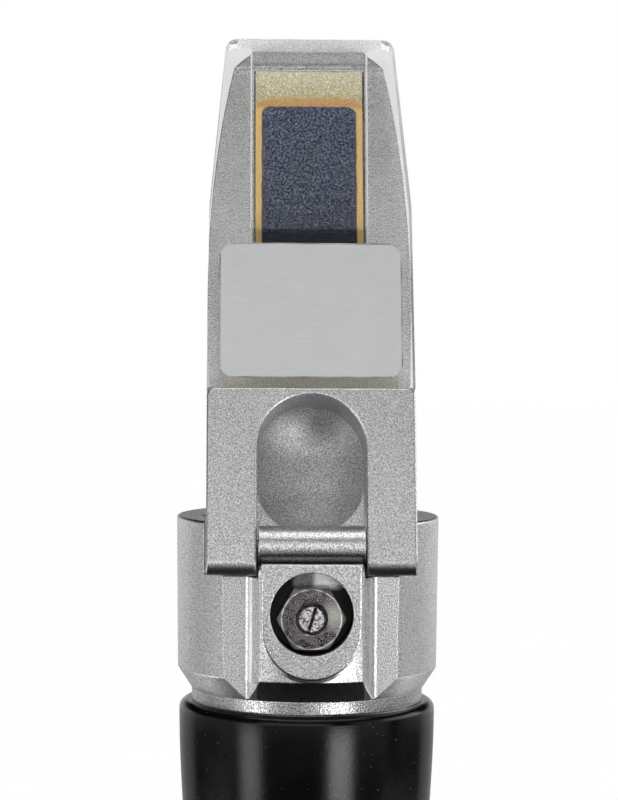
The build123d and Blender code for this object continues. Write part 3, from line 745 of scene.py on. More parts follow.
def screw_marks(paint, tone, fine, blotch):
    """The screw's scratched face, with painted shade in the gap round it and in its slot."""
    spot = paint.parts(paint.place())
    across, height = spot["X"] / MM, spot["Z"] / MM - ADJUSTER_HEIGHT
    worn = paint.noise(0.00036, detail=3.0, roughness=0.7)
    tone = paint.mixed(paint.spread(worn, 0.51, 0.45), tone, (0.05, 0.046, 0.042))
    tone = paint.mixed(paint.spread(fine, 0.54, 0.60) * 0.8, tone, (0.97, 0.96, 0.94))
    middle = paint.reach(across, height)
    beside = across * cos(SLOT_TILT) - height * sin(SLOT_TILT)
    sunk = paint.spread(spot["Y"] / -MM, SCREW_END - 0.03, SCREW_END - 0.08)
    slot = sunk * paint.spread(middle, SCREW_FACE + 0.1, SCREW_FACE) * paint.spread(beside, -0.10, -0.02)
    gap = paint.spread(middle, SCREW_FACE + 0.02, SCREW_FACE + 0.12)
    # Painted shade in the slot and in the gap round the screw
    return paint.mixed((slot * 0.93).larger(gap * 0.92), tone, (0.01, 0.01, 0.01))


def soft_rubber(name, colour, roughness):
    """Black moulded rubber with a few specks of dust and a faint grain."""
    paint = new_paint(name)
    grain = paint.noise(0.00022, detail=2.0, roughness=0.7)
    haze = paint.noise(0.004, detail=3.0, roughness=0.55)
    dust = paint.spread(paint.noise(0.00022, detail=0.0), 0.855, 0.87)
    tone = paint.mixed(paint.spread(haze, 0.3, 0.75), colour, scaled(colour, 1.5))
    tone = paint.mixed(dust * 0.6, tone, (0.35, 0.35, 0.35))
    rough = roughness + 0.08 * (haze - 0.5) + 0.22 * (grain - 0.5)
    bumped = paint.bump(grain, 0.000018, 0.7)
    return paint.finish(
        paint.principled(Base_Color=tone, Roughness=rough.clamp(), Normal=bumped, Specular_IOR_Level=0.25)
    )


def moulded_plastic(name, colour):
    """Satin black plastic with its edges painted lighter as a highlight."""
    paint = new_paint(name)
    grain = paint.noise(0.0002, detail=2.0, roughness=0.6)
    haze = paint.noise(0.003, detail=3.0)
    soft, edge = paint.edges(0.0002)
    # Edges are painted lighter as a highlight
    tone = paint.mixed(edge * 0.35, colour, (0.08, 0.08, 0.08))
    rough = 0.34 + 0.14 * haze
    bumped = paint.bump(grain, 0.000015, 0.5, soft)
    return paint.finish(paint.principled(Base_Color=tone, Roughness=rough.clamp(), Normal=bumped))


def matt_black(name):
    """Blackened metal inside the tube."""
    paint = new_paint(name)
    grain = paint.noise(0.0003, detail=3.0)
    tone = paint.mixed(paint.spread(grain, 0.3, 0.7), (0.012, 0.012, 0.012), (0.03, 0.03, 0.03))
    rough = 0.55 + 0.2 * grain
    return paint.finish(paint.principled(Base_Color=tone, Roughness=rough.clamp()))


def lens_glass(name):
    """Clear optical glass that lets lamps through."""
    paint = new_paint(name)
    smear = paint.noise(0.004, detail=2.0)
    glass = paint.principled(
        Base_Color=(0.95, 0.97, 0.98),
        Roughness=(0.01 + 0.02 * smear),
        IOR=1.52,
        Transmission_Weight=1.0,
        Coat_Weight=0.25,
        Coat_Tint=(0.75, 0.8, 1.0),
    )
    return paint.finish(let_lamps_through(paint, glass))


def let_lamps_through(paint, glass, tint=(1.0, 1.0, 1.0)):
    """Glass that casts no dark shadow."""
    shadow = paint.node("ShaderNodeLightPath")["Is Shadow Ray"]
    hole = paint.node("ShaderNodeBsdfTransparent", {}, {"Color": tint})[0]
    return paint.node("ShaderNodeMixShader", {}, {0: shadow, 1: glass, 2: hole})[0]


def clear_acrylic(name, clear):
    """Polished clear plastic with hairline wipe marks."""
    paint = new_paint(name)
    wipe = paint.noise(0.0006, detail=3.0, roughness=0.7, stretch=(1.0, 1.0, 9.0))
    haze = paint.noise(0.007, detail=3.0)
    rough = 0.012 + 0.05 * paint.spread(wipe, 0.56, 0.8) + 0.03 * paint.spread(haze, 0.45, 0.9)
    bumped = paint.bump(haze, 0.00002, 0.25)
    glass = paint.principled(
        Base_Color=tuple(clear.tint),
        Roughness=rough,
        IOR=1.49,
        Transmission_Weight=1.0,
        Normal=bumped,
    )
    return paint.finish(let_lamps_through(paint, glass, (0.91, 0.915, 0.915)))


def ground_acrylic(name, clear, milk, roughness):
    """Ground or sawn faces of the clear plate: cloudy flecks, a milky foot and shade under the label."""
    paint = new_paint(name)
    across, up, out = paint.slanted()
    grain = paint.noise(0.00022, detail=2.0, roughness=0.7)
    fleck = paint.spread(grain, 0.50, 0.62)
    inner = paint.spread(out, PAD_FACE + 0.5, PAD_FACE + 0.3)
    foot = paint.spread(up, PAD_FOOT_TOP + 0.15, PAD_FOOT_TOP - 0.15) * inner
    rim = paint.band(abs(across), PAD_HALF - 0.16, PAD_HALF + 0.02, 0.03) * inner
    shade = paint.spread(up, LABEL_SHADE, LABEL_SHADE - 0.3) * inner
    cloudiness = (milk * fleck * (1.0 - 0.8 * shade)).larger(foot * (0.75 + 0.25 * fleck)).larger(rim * 0.8)
    over_prism = paint.spread(abs(across), PRISM_HALF + 0.1, PRISM_HALF - 0.1)
    shaded = paint.mixed(over_prism, scaled(clear.tint, 0.62), (0.27, 0.29, 0.37))
    tint = paint.mixed(shade, tuple(clear.tint), shaded)
    bumped = paint.bump(grain, 0.00003, 0.6)
    glass = paint.principled(
        Base_Color=tint,
        Roughness=roughness,
        IOR=1.49,
        Transmission_Weight=1.0,
        Normal=bumped,
    )
    cloud = paint.mixed(foot, (0.86, 0.87, 0.88), (0.99, 0.95, 0.78))
    white = paint.principled(Base_Color=cloud, Roughness=0.8, Normal=bumped)
    cloudy = paint.node("ShaderNodeMixShader", {}, {0: cloudiness, 1: glass, 2: white})[0]
    return paint.finish(let_lamps_through(paint, cloudy, (0.91, 0.915, 0.92)))


def dark_prism(name, prism):
    """The measuring face: navy with pale flecks where the pad lies on it, darker towards its foot."""
    paint = new_paint(name)
    grain = paint.noise(0.00020, detail=2.0, roughness=0.65)
    cloud = paint.noise(0.004, detail=2.0)
    _, up, _ = paint.slanted()
    dots = paint.noise(0.00021, detail=0.0)
    soft = paint.mixed(paint.spread(grain, 0.36, 0.56), tuple(prism.glass), scaled(prism.flecks, 0.22))
    flecked = paint.mixed(paint.spread(dots, 0.52, 0.66), soft, scaled(prism.flecks, 1.25))
    shaded = paint.mixed(paint.spread(up, 62.0, 40.0, 0.0, 0.42), flecked, tuple(prism.glass))
    tone = paint.mixed(paint.spread(cloud, 0.4, 0.75, 0.0, 0.15), shaded, (0.05, 0.06, 0.10))
    label_shade = paint.spread(up, LABEL_SHADE, LABEL_SHADE - 1.1, 0.0, 0.85)
    tone = paint.mixed(label_shade, tone, (0.002, 0.004, 0.020))
    bumped = paint.bump(grain, 0.00003, 0.5)
    return paint.finish(
        paint.principled(Base_Color=tone, Roughness=0.30 + 0.1 * cloud, IOR=1.45, Normal=bumped)
    )


def cured_cement(name, prism):
    """Cement: a dark line and gold beside the prism, orange beyond it and pale at the tip."""
    paint = new_paint(name)
    across, up, _ = paint.slanted()
    wave = paint.noise(0.0022, detail=3.0, roughness=0.6)
    fine = paint.noise(0.00035, detail=3.0, roughness=0.6)
    beside = (abs(across) - (PRISM_HALF - PRISM_CORNER)).larger(0.0)
    beyond = (up - (PRISM_TOP - PRISM_CORNER)).larger(0.0)
    away = paint.reach(beside, beyond) - PRISM_CORNER + 0.5 * (wave - 0.5)
    orange = (0.56, 0.30, 0.08)
    khaki = (0.50, 0.42, 0.20)
    tip = paint.spread(up, PRISM_TOP - 0.3, PRISM_TOP + 0.1)
    tone = paint.mixed(tip, tuple(prism.gold), orange)
    tone = paint.mixed(paint.spread(away, 0.9, 1.5), tone, khaki)
    tone = paint.mixed(paint.spread(away, 1.5, 3.9), tone, tuple(prism.pale))
    tone = paint.mixed(paint.spread(away, 0.22, 0.05, 0.0, 0.75), tone, (0.16, 0.08, 0.02))
    tone = paint.mixed(paint.spread(fine, 0.5, 0.75, 0.0, 0.3), tone, (0.80, 0.66, 0.34))
    grain = paint.noise(0.00020, detail=2.0, roughness=0.65)
    flecked = paint.spread(away, 0.9, 1.6)
    tone = paint.mixed(paint.spread(grain, 0.52, 0.66) * flecked * 0.75, tone, (0.95, 0.95, 0.82))
    tone = paint.mixed(paint.spread(grain, 0.46, 0.34) * flecked * 0.7, tone, (0.20, 0.18, 0.10))
    # Painted shadow along the cement's outer edge, in the gap beside the metal
    outline = paint.spread(abs(across), CEMENT_HALF, CEMENT_HALF + 0.2)
    tone = paint.mixed(outline * 0.85, tone, (0.05, 0.045, 0.03))
    bumped = paint.bump(fine + wave, 0.00005, 0.5)
    return paint.finish(
        paint.principled(Base_Color=tone, Roughness=0.42 + 0.15 * fine, Normal=bumped)
    )


def satin_foil(name, clear):
    """Bare silver foil of the label."""
    paint = new_paint(name)
    brushed = paint.noise(0.00022, detail=2.0, roughness=0.6, stretch=(9.0, 1.0, 1.0))
    mottle = paint.noise(0.004, detail=3.0)
    streaks = paint.spread(brushed * 0.6 + mottle * 0.4, 0.35, 0.65)
    tone = paint.mixed(streaks, scaled(clear.foil, 0.96), scaled(clear.foil, 1.03))
    bumped = paint.bump(brushed, 0.000004, 0.4)
    return paint.finish(
        paint.principled(Base_Color=tone, Metallic=0.55, Roughness=0.42 + 0.08 * mottle, Normal=bumped)
    )


def cut_rim(name):
    """The label's cut edge, greyed and stained with glue."""
    paint = new_paint(name)
    grain = paint.noise(0.0003, detail=2.0)
    stain = paint.noise(0.003, detail=2.0)
    tone = paint.mixed(paint.spread(grain, 0.3, 0.7), (0.42, 0.42, 0.40), (0.62, 0.62, 0.60))
    tone = paint.mixed(paint.spread(stain, 0.45, 0.65, 0.0, 0.7), tone, (0.22, 0.18, 0.12))
    return paint.finish(paint.principled(Base_Color=tone, Roughness=0.5 + 0.1 * grain))


# ---------------------------------------------------------------- mesh helpers


def on_cover(x, up, out):
    """A point on the cover, in millimetres across, up the face and out from the pin."""
    return PIN + Vector((x * MM, 0.0, 0.0)) + UP_FACE * (up * MM) + OUT_FACE * (out * MM)


def new_piece(name, mesh, materials):
    """A new object from a mesh, with its materials."""
    piece = bpy.data.objects.new(name, mesh)
    bpy.context.scene.collection.objects.link(piece)
    for material in materials:
        mesh.materials.append(material)
    return piece


def mesh_of(name, build, sharp=SHARP):
    """A mesh from a bmesh that a function fills."""
    shape = bmesh.new()
    build(shape)
    mesh = bpy.data.meshes.new(name)
    shape.to_mesh(mesh)
    shape.free()
    return smoothed(mesh, sharp)


def smoothed(mesh, sharp=SHARP):
    """Merges doubles, turns the faces outwards and smooths all but the sharp edges."""
    shape = bmesh.new()
    shape.from_mesh(mesh)
    bmesh.ops.remove_doubles(shape, verts=shape.verts, dist=2e-7)
    bmesh.ops.recalc_face_normals(shape, faces=shape.faces)
    for face in shape.faces:
        face.smooth = True
    for edge in shape.edges:
        edge.smooth = len(edge.link_faces) == 2 and edge.calc_face_angle(0.0) < sharp
    shape.to_mesh(mesh)
    shape.free()
    return mesh


def prism_between(shape, outline, low, high):
    """A straight-sided body on the cover: an outline in x and up, between two offsets."""
    bottom = [shape.verts.new(on_cover(x, up, low)) for x, up in outline]
    top = [shape.verts.new(on_cover(x, up, high)) for x, up in outline]
    shape.faces.new(bottom)
    shape.faces.new(top)
    for index in range(len(outline)):
        following = (index + 1) % len(outline)
        shape.faces.new((bottom[index], bottom[following], top[following], top[index]))


def box_outline(half_width, low, high, centre=0.0):
    """A rectangle in x and up."""
    left, right = centre - half_width, centre + half_width
    return [(left, low), (right, low), (right, high), (left, high)]


def rounded(outline, radii, steps=6):
    """An outline with the named corners rounded."""
    points = []
    for index, corner in enumerate(outline):
        radius = radii.get(index, 0.0)
        here = Vector(corner)
        if radius == 0.0:
            points.append(tuple(here))
            continue
        before = (Vector(outline[index - 1]) - here).normalized()
        after = (Vector(outline[(index + 1) % len(outline)]) - here).normalized()
        half = before.angle(after) / 2
        reach = radius / tan(half)
        centre = here + (before + after).normalized() * (radius / sin(half))
        start = here + before * reach - centre
        end = here + after * reach - centre
        turn = start.angle(end)
        sign = 1 if start.cross(end) > 0 else -1
        for step in range(steps + 1):
            angle = sign * turn * step / steps
            spun = Vector(
                (
                    start.x * cos(angle) - start.y * sin(angle),
                    start.x * sin(angle) + start.y * cos(angle),
                )
            )
            points.append(tuple(centre + spun))
    return points


def arc(centre, radius, first, last, steps=6):
    """Points of a profile's arc between two angles in degrees."""
    across, along = centre
    turns = [radians(first + (last - first) * step / steps) for step in range(steps + 1)]
    return [(across + radius * cos(turn), along + radius * sin(turn)) for turn in turns]


def curve(start, leave, arrive, end, steps=16):
    """Points of a profile's smooth curve, without its ends."""
    handles = (Vector((*point, 0.0)) for point in (start, leave, arrive, end))
    return [(point.x, point.y) for point in interpolate_bezier(*handles, steps)[1:-1]]


def skin_round(shape, angles, profile_at, closed=True):
    """A skin about the Z axis, from a closed profile of radius and height for each angle."""
    rings = []
    for angle in angles:
        way = Vector((cos(angle), sin(angle), 0.0))
        points = [way * radius + Vector((0.0, 0.0, height)) for radius, height in profile_at(angle)]
        rings.append([shape.verts.new(point * MM) for point in points])
    pairs = list(zip(rings, rings[1:]))
    if closed:
        pairs.append((rings[-1], rings[0]))
    for ring, following in pairs:
        for row in range(len(ring)):
            below = (row + 1) % len(ring)
            shape.faces.new((ring[row], following[row], following[below], ring[below]))


def full_turn(segments):
    """Even angles round a full turn."""
    return [2 * pi * step / segments for step in range(segments)]


def round_the_axis():
    """A tree that sets copies of a piece at even steps round the optical axis."""
    layout = Layout(
        "round_the_axis",
        {"Count": "NodeSocketInt", "First Angle": "NodeSocketFloat", "Material": "NodeSocketMaterial"},
    )
    inputs = layout.node("NodeGroupInput")
    spots = layout.node("GeometryNodePoints", {}, {"Count": inputs["Count"]})[0]
    place = layout.node("GeometryNodeInputIndex")[0]
    angle = inputs["First Angle"] + 2 * pi * place / inputs["Count"]
    turn = layout.node("ShaderNodeCombineXYZ", {}, {"Z": angle})[0]
    copies = layout.node(
        "GeometryNodeInstanceOnPoints",
        {},
        {"Points": spots, "Instance": inputs["Geometry"], "Rotation": turn},
    )[0]
    whole = layout.node("GeometryNodeRealizeInstances", {}, {"Geometry": copies})[0]
    values = {"Geometry": whole, "Material": inputs["Material"]}
    layout.finish(layout.node("GeometryNodeSetMaterial", {}, values)[0])
    return layout


def settled(piece):
    """A plain mesh from a piece's modifiers, which are then removed."""
    bpy.context.view_layer.update()
    graph = bpy.context.evaluated_depsgraph_get()
    mesh = bpy.data.meshes.new_from_object(piece.evaluated_get(graph))
    piece.modifiers.clear()
    old = piece.data
    piece.data = mesh
    mesh.name = piece.name
    bpy.data.meshes.remove(old)
    return piece


def combine(piece, other, operation):
    """Gives a piece a modifier that adds another body to it or takes it away."""
    modifier = piece.modifiers.new(other.name, "BOOLEAN")
    modifier.operation = operation
    modifier.solver = "EXACT"
    modifier.object = other


def laid_down(mesh, height, axis):
    """Lays a mesh that was turned about Z on its side and lifts it, in millimetres."""
    lift = Matrix.Translation((0.0, 0.0, height * MM))
    mesh.transform(lift @ Matrix.Rotation(pi / 2, 4, axis))
    return mesh


def joined_bodies(name, bodies, materials):
    """One body from several that overlap."""
    pieces = []
    for index, body in enumerate(bodies):
        title = f"{name}_{index}"
        pieces.append(new_piece(title, mesh_of(title, body), ()))
    first, *others = pieces
    for other in others:
        combine(first, other, "UNION")
    settled(first)
    for other in others:
        mesh = other.data
        bpy.data.objects.remove(other)
        bpy.data.meshes.remove(mesh)
    first.name = name
    first.data.materials.clear()
    for material in materials:
        first.data.materials.append(material)
    return first


def paint_node(node, material):
    """Gives a CAD node its finish."""
    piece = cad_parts[node]
    if not piece.material_slots:
        piece.data.materials.append(material)
    for place in piece.material_slots:
        place.material = material


# ---------------------------------------------------------------- operators


class DRESS_OT_castings(bpy.types.Operator):
    """Finishes the housing, the hinge frame, the inset plate and the plain metal parts"""

    bl_idname = "dress.castings"
    bl_label = "Dress Castings"

    def execute(self, context):
        metal = context.scene.dresser_metal
        casting, rough = tuple(metal.casting), metal.roughness
        pale, dark = scaled(metal.turned, 1.25), scaled(metal.turned, 0.82)
        smooth = rough - 0.06
        cast = blasted_alloy("cast_alloy", casting, metal, rough, marks_and_light=housing_marks_and_light)
        cover = blasted_alloy("cover_alloy", casting, metal, rough, marks_and_light=cover_painted_shade)
        inset = blasted_alloy("inset_alloy", pale, metal, smooth, marks_and_light=inset_wear)
        turned = blasted_alloy("turned_alloy", dark, metal, smooth, relief=1.3)
        steel = plated_steel("plated_steel", tuple(metal.steel))
        inside = matt_black("blackened_metal")
        paint_node("prism_housing", cast)
        paint_node("hinge_frame", cover)
        paint_node("adjuster_escutcheon", inset)
        for node in ("main_tube", "eyepiece_barrel"):
            paint_node(node, turned)
        for node in ("hinge_pin", "lens_guide_screw"):
            paint_node(node, steel)
        for node in (
            "field_stop",
            "reticle_holder",
            "reticle_retainer",
            "objective_cell",
            "objective_retainer",
            "eye_lens_cell",
            "lens_spacer",
            "eye_retainer",
        ):
            paint_node(node, inside)
        return {"FINISHED"}


class DRESS_OT_adjuster(bpy.types.Operator):
    """Builds the chamfered lock nut, and finishes it and the adjusting screw"""

    bl_idname = "dress.adjuster"
    bl_label = "Dress Adjuster"

    def execute(self, context):
        steel = context.scene.dresser_metal.steel
        paint_node("adjusting_screw", plated_steel("screw_steel", scaled(steel, 3.1), screw_marks))

        def profile_at(angle):
            side = NUT_FLAT / cos(angle % (pi / 3) - pi / 6)
            drop = NUT_CHAMFER * (side - NUT_FACE) / (NUT_FLAT / cos(pi / 6) - NUT_FACE)
            return [
                (NUT_BORE, NUT_BASE),
                (NUT_BORE, NUT_TOP - 0.25),
                (NUT_BORE + 0.06, NUT_TOP - 0.14),
                (NUT_BORE + 0.20, NUT_TOP - 0.02),
                (NUT_BORE + 0.26, NUT_TOP),
                (NUT_FACE - 0.08, NUT_TOP),
                (NUT_FACE - 0.03, NUT_TOP - 0.005),
                (NUT_FACE + 0.02, NUT_TOP - 0.03),
                (side, NUT_TOP - drop - 0.03),
                (side, NUT_BASE + 0.1),
                (side - 0.1, NUT_BASE),
            ]

        def build(shape):
            skin_round(shape, full_turn(120), profile_at)

        mesh = laid_down(mesh_of("chamfered_nut", build, NUT_SHARP), ADJUSTER_HEIGHT, "X")
        nut_steel = plated_steel("nut_steel", scaled(steel, 1.25), nut_marks)
        nut = new_piece("chamfered_nut", mesh, (nut_steel,))
        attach(nut, "lock_nut")
        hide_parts("lock_nut")
        return {"FINISHED"}


class DRESS_OT_prism(bpy.types.Operator):
    """Finishes the measuring prism and the cement round it"""

    bl_idname = "dress.prism"
    bl_label = "Dress Prism"

    def execute(self, context):
        prism = context.scene.dresser_prism
        paint_node("measuring_prism", dark_prism("prism_glass", prism))
        paint_node("prism_seal", cured_cement("ochre_cement", prism))
        return {"FINISHED"}


class DRESS_OT_clear_plate(bpy.types.Operator):
    """Builds the clear cover plate, with its frosted pad and the tongues that hold it in the frame"""

    bl_idname = "dress.clear_plate"
    bl_label = "Build Clear Plate"

    def execute(self, context):
        clear = context.scene.dresser_clear
        front = FRAME_FRONT - clear.recess / MM
        edge = [(PLATE_FOOT_HALF, PLATE_FOOT), (PLATE_BEND_HALF, PLATE_BEND), (PLATE_TOP_HALF, PLATE_TOP)]
        first, *others = [(-x, up) for x, up in edge]
        outline = rounded([first, *edge, *reversed(others)], {3: PLATE_CORNER, 4: PLATE_CORNER})
        half = [(PAD_FOOT_HALF, PLATE_FOOT), (PAD_FOOT_HALF, PAD_FOOT_TOP)]
        half += [(PAD_HALF, PAD_FOOT_TOP), (PAD_HALF, PAD_TOP)]
        pad = half + [(-x, up) for x, up in reversed(half)]
        bodies = [
            lambda shape: prism_between(shape, outline, PLATE_BACK, front),
            lambda shape: prism_between(shape, pad, PAD_FACE, PLATE_BACK + 0.5),
        ]
        for side in (-1, 1):
            tongue = box_outline(TONGUE_HALF, TONGUE_LOW, TONGUE_HIGH, TONGUE_ACROSS * side)
            bodies.append(
                lambda shape, tongue=tongue: prism_between(shape, tongue, TONGUE_BACK, TONGUE_FRONT)
            )
        polished = clear_acrylic("clear_acrylic", clear)
        ground = ground_acrylic("ground_acrylic", clear, 0.13, 0.07)
        sawn = ground_acrylic("sawn_acrylic", clear, 0.45, 0.75)
        trimmed = ground_acrylic("trimmed_acrylic", clear, 0.50, 0.30)
        plate = joined_bodies("clear_plate", bodies, (polished, ground, sawn, trimmed))
        bevel = plate.modifiers.new("Edges", "BEVEL")
        bevel.width = clear.bevel
        bevel.segments = 3
        bevel.limit_method = "ANGLE"
        bevel.angle_limit = radians(30)
        bevel.harden_normals = True
        settled(plate)

        # The pad's face is ground, its rim and upper end are sawn, and the plate's sides are trimmed
        for face in plate.data.polygons:
            spot = (face.center - PIN) / MM
            across, up, out = abs(spot.x), spot.dot(UP_FACE), spot.dot(OUT_FACE)
            tilt = abs(face.normal.dot(OUT_FACE))
            if out < PAD_FACE + 0.02 and tilt > 0.99:
                face.material_index = 1
            elif across > PLATE_SIDE and abs(face.normal.x) > 0.4:
                face.material_index = 3
            elif out < PAD_FACE + 0.3 and 0.1 < tilt < 0.99 and up > PAD_FOOT_TOP:
                face.material_index = 2
            elif face.normal.dot(UP_FACE) > 0.5 and across < PAD_HALF + 0.4 and up > PAD_TOP - 0.1:
                face.material_index = 2
        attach(plate, "cover")
        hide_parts("daylight_plate")
        return {"FINISHED"}


class DRESS_OT_label(bpy.types.Operator):
    """Lays the bare foil label on the clear plate"""

    bl_idname = "dress.label"
    bl_label = "Build Label"

    def execute(self, context):
        clear = context.scene.dresser_clear
        base = FRAME_FRONT - clear.recess / MM
        top = FRAME_FRONT - LABEL_SINK
        steps = (
            (0.0, base),
            (0.0, top - 0.04),
            (0.04, top),
            (LABEL_RIM, top),
            (LABEL_RIM + 0.03, top - 0.015),
        )

        def build(shape):
            rows = []
            for inset, out in steps:
                box = box_outline(LABEL_HALF - inset, LABEL_LOW + inset, LABEL_HIGH - inset)
                points = rounded(box, {index: LABEL_CORNER - inset for index in range(4)}, 8)
                rows.append([shape.verts.new(on_cover(x, up, out)) for x, up in points])
            for first, second in zip(rows, rows[1:]):
                for index in range(len(first)):
                    following = (index + 1) % len(first)
                    shape.faces.new((first[index], first[following], second[following], second[index]))
            shape.faces.new(rows[0])
            shape.faces.new(rows[-1])

        mesh = mesh_of("bare_label", build, LABEL_SHARP)
        label = new_piece("bare_label", mesh, (cut_rim("label_rim"), satin_foil("silver_foil", clear)))
        for face in mesh.polygons:
            spot = (face.center - PIN) / MM
            across, up, out = abs(spot.x), spot.dot(UP_FACE), spot.dot(OUT_FACE)
            inner = max(across - LABEL_HALF, LABEL_LOW - up, up - LABEL_HIGH) < -LABEL_RIM
            flat = abs(face.normal.dot(OUT_FACE)) > 0.99 and not base + 0.01 < out < top - 0.02
            face.material_index = 1 if inner and flat else 0
        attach(label, "cover")
        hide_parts("rating_label")
        return {"FINISHED"}


class DRESS_OT_rubber(bpy.types.Operator):
    """Builds the grip and the eyecup, and finishes them and the sealing ring"""

    bl_idname = "dress.rubber"
    bl_label = "Dress Rubber"

    def execute(self, context):
        rubber = context.scene.dresser_rubber
        skin = soft_rubber("black_rubber", tuple(rubber.colour), rubber.roughness)
        paint_node("tube_seal_ring", skin)

        # The grip has a rounded foot, a slim waist and a rounded shoulder
        waist = (GRIP_WAIST, GRIP_WAIST_HEIGHT)
        foot, shoulder = GRIP_BOTTOM + 1.0, GRIP_TOP - GRIP_LIP
        sleeve = [(GRIP_BORE, GRIP_BOTTOM)]
        sleeve += arc((GRIP_LOW - 1.0, foot), 1.0, -90, 0, 8)
        sleeve += curve((GRIP_LOW, foot), (GRIP_LOW, foot + 8), (waist[0], waist[1] - 9), waist)
        sleeve.append(waist)
        sleeve += curve(waist, (waist[0], waist[1] + 12), (GRIP_HIGH, shoulder - 9), (GRIP_HIGH, shoulder))
        sleeve += arc((GRIP_HIGH - GRIP_LIP, shoulder), GRIP_LIP, 0, 90, 12)
        sleeve.append((GRIP_BORE, GRIP_TOP))

        # The eyecup has a rolled rim, a waist, a groove for the focus ring's bead and a wide mouth
        neck = (CUP_WAIST, CUP_WAIST_TOP)
        cup = arc((CUP_RIM - 0.5, 0.5), 0.5, -90, 0)
        cup += arc((CUP_RIM - 0.35, 1.25), 0.35, 0, 60, 4)
        cup += curve((CUP_RIM - 0.175, 1.55), (CUP_RIM - 1.0, 2.2), (CUP_WAIST, 5.5), neck)
        cup += [neck] + arc((CUP_WAIST - 0.6, CUP_TOP - 0.3), 0.3, 0, 90, 4)
        cup += [(CUP_BORE, CUP_TOP), (CUP_BORE, CUP_GROOVE_TOP), (CUP_GROOVE, CUP_GROOVE_TOP)]
        cup += [(CUP_GROOVE, CUP_SHELF), (CUP_THROAT + 0.4, CUP_SHELF)]
        cup += arc((CUP_THROAT + 0.4, CUP_SHELF - 0.4), 0.4, 90, 180, 4)
        cup += curve((CUP_THROAT, CUP_SHELF - 0.4), (CUP_THROAT, 6.3), (13.9, 1.6), (CUP_MOUTH - 0.05, 0.1))
        cup.append((CUP_MOUTH, 0.0))

        for name, profile, node, body in (
            ("moulded_grip", sleeve, "rubber_grip", "body"),
            ("soft_eyecup", cup, "eyecup", "focus_ring"),
        ):
            mesh = mesh_of(name, lambda shape: skin_round(shape, full_turn(180), lambda angle: profile))
            piece = new_piece(name, mesh, (skin,))
            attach(piece, body)
            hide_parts(node)
        return {"FINISHED"}


class DRESS_OT_lenses(bpy.types.Operator):
    """Finishes the lenses and the scale glass"""

    bl_idname = "dress.lenses"
    bl_label = "Dress Lenses"

    def execute(self, context):
        glass = lens_glass("optical_glass")
        for node in ("objective_lens", "scale_reticle", "eye_lens", "field_lens"):
            paint_node(node, glass)
        return {"FINISHED"}


